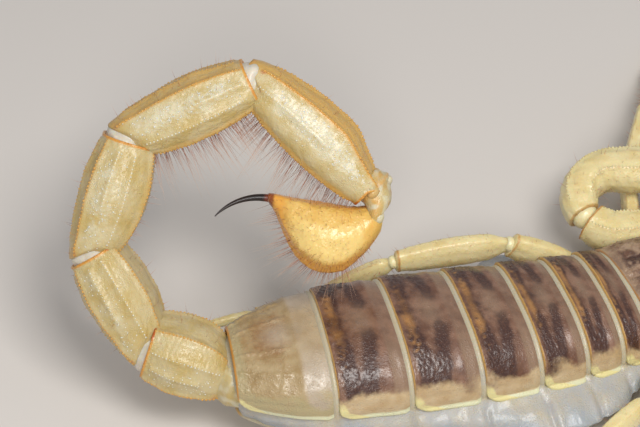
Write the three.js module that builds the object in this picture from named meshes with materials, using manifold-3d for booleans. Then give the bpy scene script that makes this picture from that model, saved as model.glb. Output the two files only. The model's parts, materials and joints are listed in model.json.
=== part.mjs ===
// A desert hairy scorpion, standing, with its tail raised and curled forward over its left side.
// Millimetres. +X points where the head points, +Y to the animal's left, +Z up, and the floor is z = 0.
// The parts are laid out from the middle of the carapace's rear edge, and the last step centres them.
import * as THREE from "three";
import { mergeVertices } from "three/addons/utils/BufferGeometryUtils.js";
import Module from "manifold-3d";

const wasm = await Module();
wasm.setup();

// ---------- Driving dimensions ----------

const GAP = 0.3; // between neighbouring pieces

// The trunk behind the carapace is an arc: it leaves at START_TURN degrees and turns by TRUNK_TURN more.
const SOMITE_LENGTHS = [2.8, 3.7, 4.7, 5.8, 6.8, 7.0, 9.0];
const TRUNK_LENGTH = SOMITE_LENGTHS.reduce((sum, length) => sum + length, 0);
const START_TURN = 2.5;
const TRUNK_TURN = 11;
// Distance behind the carapace, middle height, half width of the back plates, rise of the back, drop of the
// belly, and how far the soft flanks swell out below the plates: the animal is well fed.
const TRUNK_SECTIONS = [
  [0, 4.0, 6.8, 4.3, 2.2, 0.5],
  [4, 4.25, 7.05, 4.45, 2.45, 2.2],
  [8, 4.5, 7.3, 4.6, 2.75, 3.8],
  [13, 4.95, 7.55, 4.75, 3.4, 4.0],
  [17, 5.3, 7.75, 4.9, 3.9, 3.4],
  [24, 5.9, 7.7, 5.0, 4.5, 2.4],
  [30.8, 6.3, 7.4, 4.7, 4.8, 1.4],
  [35, 6.4, 6.4, 4.2, 4.4, 0.6],
  [39.8, 6.6, 4.2, 2.9, 3.3, 0],
];

const CARAPACE_LENGTH = 13;
const CARAPACE_MID_HEIGHT = 4.0;
// Place along X, half width, height of the top, height of the underside.
const CARAPACE_SECTIONS = [
  [0.15, 6.7, 8.2, 1.6],
  [3.5, 6.6, 8.5, 1.4],
  [7.5, 5.9, 8.6, 1.4],
  [10.5, 5.1, 7.9, 1.7],
  [12.3, 4.6, 7.2, 2.3],
  [CARAPACE_LENGTH, 4.2, 6.7, 2.9],
];

// Heading turns from +X towards +Y, rise is above the floor, roll turns the section about its axis.
// Depths are dorsal and ventral, at the collar, the thickest place and the rear rim.
const TAIL_ROOT = [-39.03, 5.63, 6.7];
const TAIL = [
  { length: 8.06, heading: 146.6, rise: 14.2, roll: 17.9, width: 7.6,
    dorsal: [2.5, 3.3, 2.8], ventral: [2.9, 3.8, 3.1] },
  { length: 10.1, heading: 110.6, rise: 43.7, roll: 48.6, width: 7.4,
    dorsal: [1.5, 3.06, 2.4], ventral: [2.2, 3.2, 2.6] },
  { length: 11.16, heading: 39.9, rise: 49.3, roll: 112.0, width: 7.2,
    dorsal: [1.5, 3.4, 2.6], ventral: [2.2, 3.25, 2.6] },
  { length: 12.7, heading: -7.5, rise: 19.9, roll: 141.0, width: 7.0,
    dorsal: [1.4, 2.85, 2.2], ventral: [2.2, 3.3, 2.4] },
  { length: 14.83, heading: -53.9, rise: -31.1, roll: 135.4, width: 6.6,
    dorsal: [1.4, 2.5, 1.8], ventral: [2.1, 3.7, 2.4] },
];
// Share of the segment's length, share of its width, and the depths' share from collar to thickest to rim.
const TAIL_STATIONS = [
  [0.26, 0.86, 0.5],
  [0.38, 0.96, 0.85],
  [0.6, 1.0, 1.0],
  [0.8, 0.98, 1.4],
  [0.95, 0.93, 1.85],
  [1.0, 0.88, 2.1],
];
const COLLAR_WIDTH = 0.6;

const NECK = { length: 2.58, heading: -72.8, rise: -42.4 };
const VESICLE = { length: 10.78, width: 5.8, heading: 150.6, rise: 6.4, roll: 49.4 };
// Share of the vesicle's length, then its ventral bulge and its flatter dorsal side.
const VESICLE_STATIONS = [
  [0.03, 2.0, 1.0],
  [0.12, 3.6, 0.6],
  [0.3, 5.4, 0.25],
  [0.5, 6.1, 0.2],
  [0.7, 5.6, 0.2],
  [0.82, 4.3, 0.3],
  [0.91, 2.1, 0.3],
  [1.0, 0.7, 0.3],
];
const ACULEUS = { length: 5.6, startAngle: -3, endAngle: 54, rootRadius: 0.5, tipRadius: 0.25, steps: 7 };

// Each leg: the hip's place, and the heading of each length from the hip outward, for both sides.
const LEG_HEIGHT_AT_HIP = 2.0;
const LEGS = [
  { name: "leg_1", hip: [10.4, 4.0], lengths: [4.0, 6.2, 7.6, 5.6, 4.8, 3.8], size: 0.82,
    left: [60, 62, 68, 58, 52, 52], right: [60, 63, 70, 62, 56, 56] },
  { name: "leg_2", hip: [7.6, 4.4], lengths: [4.2, 6.8, 8.4, 6.4, 5.6, 4.2], size: 0.88,
    left: [65, 66, 64, 60, 58, 58], right: [74, 78, 88, 90, 90, 90] },
  { name: "leg_3", hip: [4.8, 4.7], lengths: [4.4, 7.4, 9.6, 7.0, 6.4, 4.6], size: 0.94,
    left: [70, 70, 52, 56, 60, 60], right: [89, 94, 113, 122, 128, 128] },
  { name: "leg_4", hip: [1.9, 5.0], lengths: [3.4, 8.5, 11.8, 8.0, 7.5, 4.9], size: 1.0,
    left: [142, 157.5, 168, 156.5, 169, 169], right: [118, 129, 155, 160, 166, 166] },
];
// Rise of trochanter, femur, patella, basitarsus and tarsus; the tibia takes what is left to the floor.
const LEG_RISES = { front: [2, 20, 10, -28, -10], hind: [15, 28.8, -1, -11, -7] };
const FOOT_SHARE = 0.5; // of the tarsus tip's half depth stands above its flat on the floor
const LEG_SIDES = 8;
// Half width and half depth at the hip, both ends and the middle of each length.
const LEG_SECTION = {
  hip: [0.95, 1.1],
  trochanter: [1.0, 1.2],
  femur: [0.95, 1.7],
  knee: [0.85, 1.3],
  patella: [0.95, 1.6],
  shin: [0.75, 1.1],
  tibia: [0.6, 0.85],
  basitarsus: [0.5, 0.62],
  tarsus: [0.42, 0.46],
};
const FOOT_CLAW = { length: 1.0, radius: 0.26, spread: 26 };

// The pedipalps fold back: the femur runs from the trochanter to the elbow and the patella runs forward.
const PALP_ROOT = [9.6, 3.8, 4.7];
const PALP_FEMUR = [[9.6, 6.9, 5.2], [6.2, 7.9, 5.4], [3.4, 8.7, 5.5]];
// At the elbow the limb turns a half circle outward and climbs; the femur ends part of the way round.
const PALP_ELBOW = { angle: 180, radius: 3.2, climb: 2.5, steps: 7, femurSteps: 2, startHeading: 157 };
const PALP_PATELLA = { length: 6.8, rise: 0 };
const HAND = { palm: 11.5, finger: 13.5, heading: -12, rise: -6, width: 6.8, depth: 6.6 };

// ---------- Colours and finishes ----------

const finish = (color, roughness) => new THREE.MeshStandardMaterial({ color, roughness, metalness: 0 });
const STRAW = finish(0xd9c98a, 0.42);
const AMBER = finish(0xe0ab45, 0.35);
const BACK_BROWN = finish(0x5b4230, 0.4);
const LIMB_YELLOW = finish(0xdcc071, 0.42);
const STING_BLACK = finish(0x1c1210, 0.2);
const EYE_BLACK = finish(0x0a0908, 0.1);
const COMB_CREAM = finish(0xe6d8ae, 0.5);

// ---------- Geometry helpers ----------

const UP = new THREE.Vector3(0, 0, 1);
const radians = THREE.MathUtils.degToRad;
const vector = (array) => new THREE.Vector3(...array);

function direction(heading, rise) {
  const flat = Math.cos(radians(rise));
  return new THREE.Vector3(
    flat * Math.cos(radians(heading)),
    flat * Math.sin(radians(heading)),
    Math.sin(radians(rise)),
  );
}

// A section's frame: axis, side and dorsal, with axis = side x dorsal.
function frameAlong(axis, roll = 0) {
  const side = new THREE.Vector3().crossVectors(UP, axis).normalize();
  side.applyAxisAngle(axis, radians(roll));
  return { axis, side, dorsal: new THREE.Vector3().crossVectors(axis, side) };
}

// A ring of a loft: a superellipse with its own height above and depth below the centre. Its lower half
// may swell outward.
function ring(centre, frame, half, above, below, power = 2.3, swell = 0) {
  return { centre, frame, half, above, below, power, swell };
}

function grown(section, by) {
  return { ...section, half: section.half + by, above: section.above + by, below: section.below + by };
}

function ringPoint(section, angle) {
  const { centre, frame, half, above, below, power, swell } = section;
  const curve = (value) => Math.sign(value) * Math.abs(value) ** (2 / power);
  const bulge = Math.sin(angle) < 0 ? -swell * Math.sin(2 * angle) : 0;
  const across = half * curve(Math.cos(angle)) + bulge;
  const lift = Math.sin(angle) > 0 ? above : below;
  const point = centre.clone().addScaledVector(frame.side, across);
  return point.addScaledVector(frame.dorsal, lift * curve(Math.sin(angle)));
}

// Skins a row of rings and closes both ends with a fan.
function loft(rings, sides) {
  const points = rings.flatMap((section) =>
    Array.from({ length: sides }, (_, k) => ringPoint(section, ((k + 0.5) / sides) * 2 * Math.PI)),
  );
  const faces = [];
  for (let i = 0; i + 1 < rings.length; i++)
    for (let k = 0; k < sides; k++) {
      const a = i * sides + k;
      const b = i * sides + ((k + 1) % sides);
      faces.push(a, b, b + sides, a, b + sides, a + sides);
    }
  const last = (rings.length - 1) * sides;
  const caps = [rings[0].centre, rings[rings.length - 1].centre];
  for (let k = 0; k < sides; k++) {
    const next = (k + 1) % sides;
    faces.push(points.length, next, k, points.length + 1, last + k, last + next);
  }
  const geometry = new THREE.BufferGeometry().setFromPoints([...points, ...caps]);
  return geometry.setIndex(faces);
}

function solid(geometry) {
  const bare = new THREE.BufferGeometry().setAttribute("position", geometry.getAttribute("position"));
  bare.setIndex(geometry.index);
  const merged = mergeVertices(bare, 1e-4);
  const vertProperties = merged.attributes.position.array;
  const triVerts = new Uint32Array(merged.index.array);
  return new wasm.Manifold(new wasm.Mesh({ numProp: 3, vertProperties, triVerts }));
}

// Back to three.js, keeping the largest piece where a cut left a sliver.
function geometryOf(manifold) {
  const pieces = manifold.decompose().sort((a, b) => b.volume() - a.volume());
  const mesh = pieces[0].getMesh();
  const geometry = new THREE.BufferGeometry();
  geometry.setAttribute("position", new THREE.BufferAttribute(mesh.vertProperties, 3));
  return geometry.setIndex(new THREE.BufferAttribute(mesh.triVerts, 1));
}

const joined = (...parts) => parts.map(solid).reduce((whole, part) => whole.add(part));
const cut = (body, ...tools) => tools.map(solid).reduce((rest, tool) => rest.subtract(tool), body);

const scorpion = new THREE.Group();

function addPiece(name, geometry, material) {
  const mesh = new THREE.Mesh(geometry, material);
  mesh.name = name;
  scorpion.add(mesh);
}

// Reads a table of sections at a place between its rows.
function sectionAt(table, place) {
  let row = 0;
  while (row + 2 < table.length && place > table[row + 1][0]) row++;
  const share = (place - table[row][0]) / (table[row + 1][0] - table[row][0]);
  return table[row].slice(1).map((value, i) => THREE.MathUtils.lerp(value, table[row + 1][i + 1], share));
}

// ---------- Prosoma: carapace and the coxae under it ----------

const FORWARD = frameAlong(new THREE.Vector3(1, 0, 0));
const PROSOMA_SIDES = 24;

function prosomaRings(clearance = 0) {
  return CARAPACE_SECTIONS.map(([x, half, top, bottom]) => {
    const centre = new THREE.Vector3(x, 0, CARAPACE_MID_HEIGHT);
    const above = top - CARAPACE_MID_HEIGHT;
    const below = CARAPACE_MID_HEIGHT - bottom;
    return grown(ring(centre, FORWARD, half, above, below, 2.6), clearance);
  });
}
const prosomaClear = loft(prosomaRings(GAP), PROSOMA_SIDES);

const MEDIAN_EYE = { x: 7.5, y: 0.85, z: 8.65, radius: 0.5 };
const LATERAL_EYES = { x: 11.3, y: 4.5, z: 5.9, radius: 0.36, spacing: 0.5, count: 3 };

function ball(x, y, z, radius) {
  return new THREE.SphereGeometry(radius, 7, 5).translate(x, y, z);
}

function lateralEyes(side, clearance) {
  const { x, y, z, radius, spacing, count } = LATERAL_EYES;
  const balls = Array.from({ length: count }, (_, i) =>
    ball(x + (1 - i) * spacing, side * (y + (i - 1) * 0.1), z, radius + clearance),
  );
  return joined(...balls);
}

function addProsoma() {
  let body = solid(loft(prosomaRings(), PROSOMA_SIDES));
  for (const [label, side] of [["left", 1], ["right", -1]]) {
    const { x, y, z, radius } = MEDIAN_EYE;
    body = cut(body, ball(x, side * y, z, radius + GAP));
    body = body.subtract(lateralEyes(side, GAP));
    addPiece(`eye_median_${label}`, ball(x, side * y, z, radius), EYE_BLACK);
    addPiece(`eyes_lateral_${label}`, geometryOf(lateralEyes(side, 0)), EYE_BLACK);
  }
  addPiece("prosoma", geometryOf(body), BACK_BROWN);
}

// A small pincer at the mouth: a stout base with two short horns.
function addChelicera(label, side) {
  const root = new THREE.Vector3(CARAPACE_LENGTH + GAP, side * 1.65, 4.9);
  const along = (distance, offset) => new THREE.Vector3(distance, side * offset, 0).add(root);
  const base = loft([
    ring(along(0, 0), FORWARD, 1.25, 1.2, 1.3),
    ring(along(1.6, 0), FORWARD, 1.4, 1.4, 1.4),
    ring(along(3.2, 0), FORWARD, 1.1, 1.1, 1.1),
  ], 10);
  const horn = (offset, reach) => loft([
    ring(along(2.6, offset), FORWARD, 0.5, 0.6, 0.6),
    ring(along(3.8, offset * 1.15), FORWARD, 0.42, 0.5, 0.5),
    ring(along(reach, offset * 0.7), FORWARD, 0.26, 0.26, 0.3),
  ], 6);
  addPiece(`chelicera_${label}`, geometryOf(joined(base, horn(0.55, 5.1), horn(-0.55, 4.9))), AMBER);
}

// ---------- Mesosoma: seven somites, each a back plate, its flanks and its belly plate ----------

const TRUNK_CURVATURE = radians(TRUNK_TURN) / TRUNK_LENGTH;

function trunkRing(behind, scale) {
  const first = radians(START_TURN);
  const turn = first + TRUNK_CURVATURE * behind;
  const [height, half, above, below, swell] = sectionAt(TRUNK_SECTIONS, behind);
  const x = (Math.sin(first) - Math.sin(turn)) / TRUNK_CURVATURE;
  const y = (Math.cos(first) - Math.cos(turn)) / TRUNK_CURVATURE;
  const frame = frameAlong(new THREE.Vector3(-Math.cos(turn), Math.sin(turn), 0));
  const centre = new THREE.Vector3(x, y, height);
  return ring(centre, frame, half * scale, above * scale, below * scale, 2.5, swell * scale);
}

function addMesosoma() {
  let start = 0;
  SOMITE_LENGTHS.forEach((length, index) => {
    // The front edge tucks in under the rear edge of the plate before it.
    const stations = [[GAP / 2, 0.93], [0.28 * length, 0.985], [length - 0.6, 1.0], [length - GAP / 2, 0.965]];
    const rings = stations.map(([along, scale]) => trunkRing(start + along, scale));
    addPiece(`mesosoma_${index + 1}`, loft(rings, 24), BACK_BROWN);
    start += length;
  });
}

// The first somites with their clearance, which the hind legs lie against.
const FLANK_REACH = 16;
const FLANK_STEPS = [0, 0.25, 0.5, 0.8, 1];
const flankClear = loft(FLANK_STEPS.map((share) => grown(trunkRing(share * FLANK_REACH, 1), GAP)), 24);

// ---------- Combs and operculum under the first somites ----------

const COMB = { length: 6.6, width: 1.5, tooth: 0.9, teeth: 11, thickness: 0.55, height: 0.85, swing: 58 };
const COMB_ROOT = [-3.0, 2.0];

function addComb(label, side) {
  const { length, width, tooth, teeth, thickness, height, swing } = COMB;
  const outline = new THREE.Shape();
  outline.moveTo(0, 0);
  outline.lineTo(length, 0.35 * width);
  outline.lineTo(length, 0.8 * width);
  const pitch = length / teeth;
  for (let i = teeth - 1; i >= 0; i--) {
    outline.lineTo((i + 0.85) * pitch, width);
    outline.lineTo((i + 0.7) * pitch, width + tooth);
    outline.lineTo((i + 0.35) * pitch, width + tooth);
    outline.lineTo((i + 0.2) * pitch, width);
  }
  const plate = new THREE.ExtrudeGeometry(outline, { depth: thickness, bevelEnabled: false });
  // The shape's length runs outward and back, and its teeth point to the rear.
  if (side < 0) plate.rotateX(Math.PI).translate(0, 0, thickness);
  plate.rotateZ(radians(side * (90 + swing)));
  plate.translate(COMB_ROOT[0], side * COMB_ROOT[1], height);
  addPiece(`pecten_${label}`, plate, COMB_CREAM);
}

function addOperculum() {
  const plate = loft([
    ring(new THREE.Vector3(-2.2, 0, 1.2), FORWARD, 1.3, 0.28, 0.28),
    ring(new THREE.Vector3(-1.2, 0, 1.2), FORWARD, 1.6, 0.28, 0.28),
    ring(new THREE.Vector3(-0.3, 0, 1.2), FORWARD, 1.1, 0.28, 0.28),
  ], 10);
  addPiece("genital_operculum", plate, COMB_CREAM);
}

// ---------- Metasoma, vesicle and aculeus ----------

// Depth at a share that counts 0 at the collar, 1 at the thickest place and 2 or more at the rim.
function depthAt([collar, thick, rim], share) {
  if (share <= 1) return THREE.MathUtils.lerp(collar, thick, share);
  return THREE.MathUtils.lerp(thick, rim, Math.min(share - 1, 1.1));
}

function addTail() {
  let joint = vector(TAIL_ROOT);
  let before = trunkRing(TRUNK_LENGTH, 1).frame;
  const tailSides = 18;
  TAIL.forEach((segment, index) => {
    const { length, heading, rise, roll, width, dorsal, ventral } = segment;
    const frame = frameAlong(direction(heading, rise), roll);
    const collarCentre = joint.clone().addScaledVector(before.axis, GAP);
    // The collar's side follows this segment, laid into the plane of the rim before it.
    const side = frame.side.clone().projectOnPlane(before.axis).normalize();
    const dorsalWay = new THREE.Vector3().crossVectors(before.axis, side);
    const collar = { axis: before.axis, side, dorsal: dorsalWay };
    const half = (width / 2) * COLLAR_WIDTH;
    const rings = [ring(collarCentre, collar, half, dorsal[0] * 0.6, ventral[0] * 0.85)];
    for (const [along, wide, deep] of TAIL_STATIONS) {
      const centre = joint.clone().addScaledVector(frame.axis, along * length);
      const above = depthAt(dorsal, deep);
      const below = depthAt(ventral, deep);
      rings.push(ring(centre, frame, (width / 2) * wide, above, below, 2.5));
    }
    addPiece(`metasoma_${index + 1}`, loft(rings, tailSides), STRAW);
    joint = joint.clone().addScaledVector(frame.axis, length);
    before = frame;
  });
  addTelson(joint, before);
}

function addTelson(rim, rimFrame) {
  const frame = frameAlong(direction(VESICLE.heading, VESICLE.rise), VESICLE.roll);
  const base = rim.clone().addScaledVector(direction(NECK.heading, NECK.rise), NECK.length);
  const bulb = VESICLE_STATIONS.map(([along, ventral, dorsal]) => {
    const centre = base.clone().addScaledVector(frame.axis, along * VESICLE.length);
    const depth = ventral + dorsal;
    centre.addScaledVector(frame.dorsal, dorsal - depth / 2);
    const half = (VESICLE.width / 2) * (depth / 6.3) ** 0.8;
    return ring(centre, frame, half, depth / 2, depth / 2, 2.1);
  });
  // The neck is a short stub from the rim into the vesicle's root.
  const neckFrame = { ...rimFrame };
  const neckStart = rim.clone().addScaledVector(rimFrame.axis, GAP);
  const neckEnd = base.clone().addScaledVector(frame.axis, 1.2).addScaledVector(frame.dorsal, -0.6);
  const neck = loft([
    ring(neckStart, neckFrame, 1.9, 0.9, 1.6),
    ring(neckStart.clone().lerp(neckEnd, 0.45), neckFrame, 1.8, 0.8, 1.4),
    ring(neckEnd, neckFrame, 1.3, 0.6, 0.8),
  ], 12);
  addPiece("telson_vesicle", geometryOf(joined(loft(bulb, 18), neck)), AMBER);

  const tip = base.clone().addScaledVector(frame.axis, VESICLE.length + GAP);
  tip.addScaledVector(frame.dorsal, -0.2);
  const rings = [];
  for (let i = 0; i <= ACULEUS.steps; i++) {
    const share = i / ACULEUS.steps;
    const angle = radians(THREE.MathUtils.lerp(ACULEUS.startAngle, ACULEUS.endAngle, share));
    const axis = frame.axis.clone().multiplyScalar(Math.cos(angle)).addScaledVector(frame.dorsal, -Math.sin(angle));
    const dorsal = new THREE.Vector3().crossVectors(axis, frame.side);
    const radius = THREE.MathUtils.lerp(ACULEUS.rootRadius, ACULEUS.tipRadius, share);
    rings.push(ring(tip.clone(), { axis, side: frame.side, dorsal }, radius, radius, radius, 2));
    tip.addScaledVector(axis, ACULEUS.length / ACULEUS.steps);
  }
  addPiece("aculeus", loft(rings, 8), STING_BLACK);
}

// ---------- Limbs ----------

// Rings at the points of a bent limb, each in the plane that halves the bend.
function limbRings(points, sections) {
  return points.map((point, i) => {
    const into = point.clone().sub(points[Math.max(i - 1, 0)]).normalize();
    const out = points[Math.min(i + 1, points.length - 1)].clone().sub(point).normalize();
    const frame = frameAlong(into.add(out).normalize());
    const [half, depth] = sections[i];
    return ring(point, frame, half, depth, depth, 2.3);
  });
}

// The stretch of a limb between two of its rings, drawn back from them by half the gap.
function stretch(rings, first, last) {
  const part = rings.slice(first, last + 1).map((section) => ({ ...section, centre: section.centre.clone() }));
  part[0].centre.addScaledVector(part[0].frame.axis, GAP / 2);
  const end = part[part.length - 1];
  end.centre.addScaledVector(end.frame.axis, -GAP / 2);
  return part;
}

const legScaled = (name, size) => LEG_SECTION[name].map((value) => value * size);

function legPoints(leg, headings, rises, side) {
  const [trochanter, femur, patella, basitarsus, tarsus] = rises;
  const drop = (index, rise) => leg.lengths[index] * Math.sin(radians(rise));
  const fixed = drop(0, trochanter) + drop(1, femur) + drop(2, patella) + drop(4, basitarsus) + drop(5, tarsus);
  const footHeight = FOOT_SHARE * LEG_SECTION.tarsus[1] * leg.size;
  const tibiaDrop = footHeight - LEG_HEIGHT_AT_HIP - fixed;
  const tibia = THREE.MathUtils.radToDeg(Math.asin(tibiaDrop / leg.lengths[3]));
  const point = new THREE.Vector3(leg.hip[0], side * leg.hip[1], LEG_HEIGHT_AT_HIP);
  const points = [point.clone()];
  [trochanter, femur, patella, tibia, basitarsus, tarsus].forEach((rise, i) => {
    point.addScaledVector(direction(side * headings[i], rise), leg.lengths[i]);
    points.push(point.clone());
  });
  return points;
}

// Two small claws that leave the tip of the foot.
function footClaws(tip, heading) {
  return [-1, 1].map((hand) => {
    const way = direction(heading + hand * FOOT_CLAW.spread, 4);
    const frame = frameAlong(way);
    const along = (distance, radius) =>
      ring(tip.clone().addScaledVector(way, distance), frame, radius, radius, radius, 2);
    return loft([along(-0.4, FOOT_CLAW.radius), along(FOOT_CLAW.length, FOOT_CLAW.radius)], 5);
  });
}

function addLeg(leg, label, side) {
  const rises = leg.name === "leg_4" ? LEG_RISES.hind : LEG_RISES.front;
  const headings = side > 0 ? leg.left : leg.right;
  const joints = legPoints(leg, headings, rises, side);
  const middle = (i) => joints[i].clone().lerp(joints[i + 1], 0.5);
  const points = [joints[0], joints[1], middle(1), joints[2], middle(2), joints[3], joints[4], joints[5], joints[6]];
  const names = ["hip", "trochanter", "femur", "knee", "patella", "shin", "tibia", "basitarsus", "tarsus"];
  const rings = limbRings(points, names.map((name) => legScaled(name, leg.size)));
  const node = (part) => `${leg.name}_${label}_${part}`;

  const thigh = cut(solid(loft(stretch(rings, 0, 3), LEG_SIDES)), prosomaClear, flankClear);
  addPiece(node("femur"), geometryOf(thigh), LIMB_YELLOW);
  addPiece(node("patella"), loft(stretch(rings, 3, 5), LEG_SIDES), LIMB_YELLOW);

  const foot = stretch(rings, 5, 8);
  const tip = foot[foot.length - 1].centre;
  const shod = joined(loft(foot, LEG_SIDES), ...footClaws(tip, side * headings[5]));
  const floor = new THREE.BoxGeometry(12, 12, 2).translate(tip.x, tip.y, -1);
  addPiece(node("tarsus"), geometryOf(cut(shod, floor)), LIMB_YELLOW);
}

// Rings round the elbow: each turns a step about an upright line on the outer side, and climbs.
function elbowRings(start, side) {
  const { angle, radius, climb, steps, startHeading } = PALP_ELBOW;
  const first = direction(side * startHeading, 0);
  const toPivot = new THREE.Vector3().crossVectors(first, UP).multiplyScalar(side * radius);
  const pivot = start.clone().add(toPivot);
  return Array.from({ length: steps + 1 }, (_, i) => {
    const share = i / steps;
    const turn = radians(-side * angle * share);
    const centre = pivot.clone().sub(toPivot.clone().applyAxisAngle(UP, turn));
    centre.z += climb * share;
    return ring(centre, frameAlong(first.clone().applyAxisAngle(UP, turn)), 1.9, 1.95, 1.95, 2.4);
  });
}

function addPedipalp(label, side) {
  const mirrored = ([x, y, z]) => new THREE.Vector3(x, side * y, z);
  const femurPoints = PALP_FEMUR.map(mirrored);
  const node = (part) => `pedipalp_${label}_${part}`;

  const armRings = limbRings([mirrored(PALP_ROOT), ...femurPoints], [[1.7, 1.7], [1.6, 1.7], [1.7, 1.85], [1.8, 1.9]]);
  const trochanter = cut(solid(loft(stretch(armRings, 0, 1), 12)), prosomaClear);
  addPiece(node("trochanter"), geometryOf(trochanter), LIMB_YELLOW);

  const bend = elbowRings(femurPoints[2], side);
  const { femurSteps, steps } = PALP_ELBOW;
  const upper = [...armRings.slice(1, 3), ...bend.slice(0, femurSteps + 1)];
  const femur = cut(solid(loft(stretch(upper, 0, upper.length - 1), 12)), prosomaClear);
  addPiece(node("femur"), geometryOf(femur), LIMB_YELLOW);

  const heading = PALP_ELBOW.startHeading - PALP_ELBOW.angle;
  const forward = direction(side * heading, PALP_PATELLA.rise);
  const armPoint = (distance) => bend[steps].centre.clone().addScaledVector(forward, distance);
  const armFrame = frameAlong(forward);
  const lower = [
    ...stretch(bend, femurSteps, steps).slice(0, -1),
    ring(armPoint(0.2 * PALP_PATELLA.length), armFrame, 2.25, 2.1, 2.0, 2.4),
    ring(armPoint(0.6 * PALP_PATELLA.length), armFrame, 2.15, 2.1, 2.0, 2.4),
    ring(armPoint(PALP_PATELLA.length), armFrame, 1.5, 1.6, 1.5, 2.3),
  ];
  addPiece(node("patella"), loft(lower, 12), LIMB_YELLOW);
  addHand(label, side, armPoint(PALP_PATELLA.length + GAP), node);
}

// The hand: a swollen palm that runs out into the fixed finger, and the movable finger on the outer side.
function addHand(label, side, wrist, node) {
  const axis = direction(side * HAND.heading, HAND.rise);
  const frame = frameAlong(axis);
  const outward = frame.side.clone().multiplyScalar(side);
  const at = (distance, offset) =>
    wrist.clone().addScaledVector(axis, distance).addScaledVector(outward, offset);
  const half = HAND.width / 2;
  const depth = HAND.depth / 2;
  const palm = loft([
    ring(at(1.0, 0), frame, 1.4, 1.4, 1.4),
    ring(at(2.8, 0), frame, 0.72 * half, 0.75 * depth, 0.75 * depth),
    ring(at(5.5, 0), frame, half, depth, depth),
    ring(at(8.5, 0), frame, 0.97 * half, 0.95 * depth, 0.95 * depth),
    ring(at(HAND.palm, 0), frame, 0.78 * half, 0.72 * depth, 0.72 * depth),
  ], 14);
  const finger = (hand, clearance) => {
    const reach = HAND.palm + HAND.finger;
    const rows = [[9.6, 1.45, 1.35], [13.5, 1.55, 1.2], [18, 1.5, 0.95], [22, 1.05, 0.65], [reach, 0.45, 0.32]];
    const sections = rows.map(([distance, offset, radius]) =>
      ring(at(distance, hand * offset), frame, radius, radius * 1.15, radius * 1.15, 2),
    );
    sections[0].centre.addScaledVector(axis, -clearance);
    return loft(sections.map((section) => grown(section, clearance)), 8);
  };
  const fixed = joined(palm, finger(-1, 0));
  addPiece(node("chela"), geometryOf(cut(fixed, finger(1, GAP))), LIMB_YELLOW);
  addPiece(node("movable_finger"), finger(1, 0), LIMB_YELLOW);
}

// ---------- Assembly ----------

addProsoma();
addMesosoma();
addOperculum();
addTail();
for (const [label, side] of [["left", 1], ["right", -1]]) {
  addChelicera(label, side);
  addComb(label, side);
  addPedipalp(label, side);
  for (const leg of LEGS) addLeg(leg, label, side);
}

// The part's origin is on the floor, under the middle of the whole animal's box.
const box = new THREE.Box3().setFromObject(scorpion);
const middle = box.getCenter(new THREE.Vector3());
scorpion.position.set(-middle.x, -middle.y, 0);

const part = new THREE.Group();
part.add(scorpion);
export default part;
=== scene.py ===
# The looks of a desert hairy scorpion that stands with its tail curled forward over its left side.
# Its shell plates, soft skin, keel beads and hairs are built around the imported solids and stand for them.
import json
import math

import bpy
import numpy as np
from bpy.props import FloatProperty, FloatVectorProperty, IntProperty, PointerProperty
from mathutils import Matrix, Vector

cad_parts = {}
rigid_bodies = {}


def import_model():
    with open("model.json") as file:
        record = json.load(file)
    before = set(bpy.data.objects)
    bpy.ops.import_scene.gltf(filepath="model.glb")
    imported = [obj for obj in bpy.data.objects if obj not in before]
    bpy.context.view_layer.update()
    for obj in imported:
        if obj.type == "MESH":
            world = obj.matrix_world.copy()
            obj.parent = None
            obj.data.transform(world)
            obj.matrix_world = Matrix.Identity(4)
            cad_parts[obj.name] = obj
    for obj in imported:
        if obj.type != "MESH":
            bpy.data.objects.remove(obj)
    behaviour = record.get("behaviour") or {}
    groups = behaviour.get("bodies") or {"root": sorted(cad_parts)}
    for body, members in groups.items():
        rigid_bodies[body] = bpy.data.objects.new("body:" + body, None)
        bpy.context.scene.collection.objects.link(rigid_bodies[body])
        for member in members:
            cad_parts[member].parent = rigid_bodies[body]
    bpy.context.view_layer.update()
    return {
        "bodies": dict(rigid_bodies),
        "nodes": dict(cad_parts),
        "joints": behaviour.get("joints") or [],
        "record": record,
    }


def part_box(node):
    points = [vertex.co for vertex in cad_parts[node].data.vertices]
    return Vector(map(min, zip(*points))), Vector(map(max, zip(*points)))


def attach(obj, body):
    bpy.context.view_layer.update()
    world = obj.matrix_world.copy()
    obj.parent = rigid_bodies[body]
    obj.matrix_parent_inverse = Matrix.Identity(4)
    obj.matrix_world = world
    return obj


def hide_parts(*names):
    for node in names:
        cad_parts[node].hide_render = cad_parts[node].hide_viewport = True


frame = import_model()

bl_info = {
    "name": "Desert scorpion",
    "version": (1, 0, 0),
    "blender": (4, 5, 0),
    "location": "3D View > Sidebar > Scorpion",
    "description": "Builds the plates, skin, keels and hairs of a standing desert scorpion",
    "category": "Object",
}

MM = 0.001
UP = np.array([0.0, 0.0, 1.0])
FORWARD = np.array([1.0, 0.0, 0.0])
RIPPLE_WAVES = 18

# ---------- Driving dimensions, in millimetres and degrees ----------

# The trunk behind the carapace is an arc that leaves at START_TURN and turns by TRUNK_TURN more.
SOMITE_LENGTHS = [2.8, 3.7, 4.7, 5.8, 6.8, 7.0, 9.0]
TRUNK_LENGTH = sum(SOMITE_LENGTHS)
START_TURN = 2.5
TRUNK_TURN = 11
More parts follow.
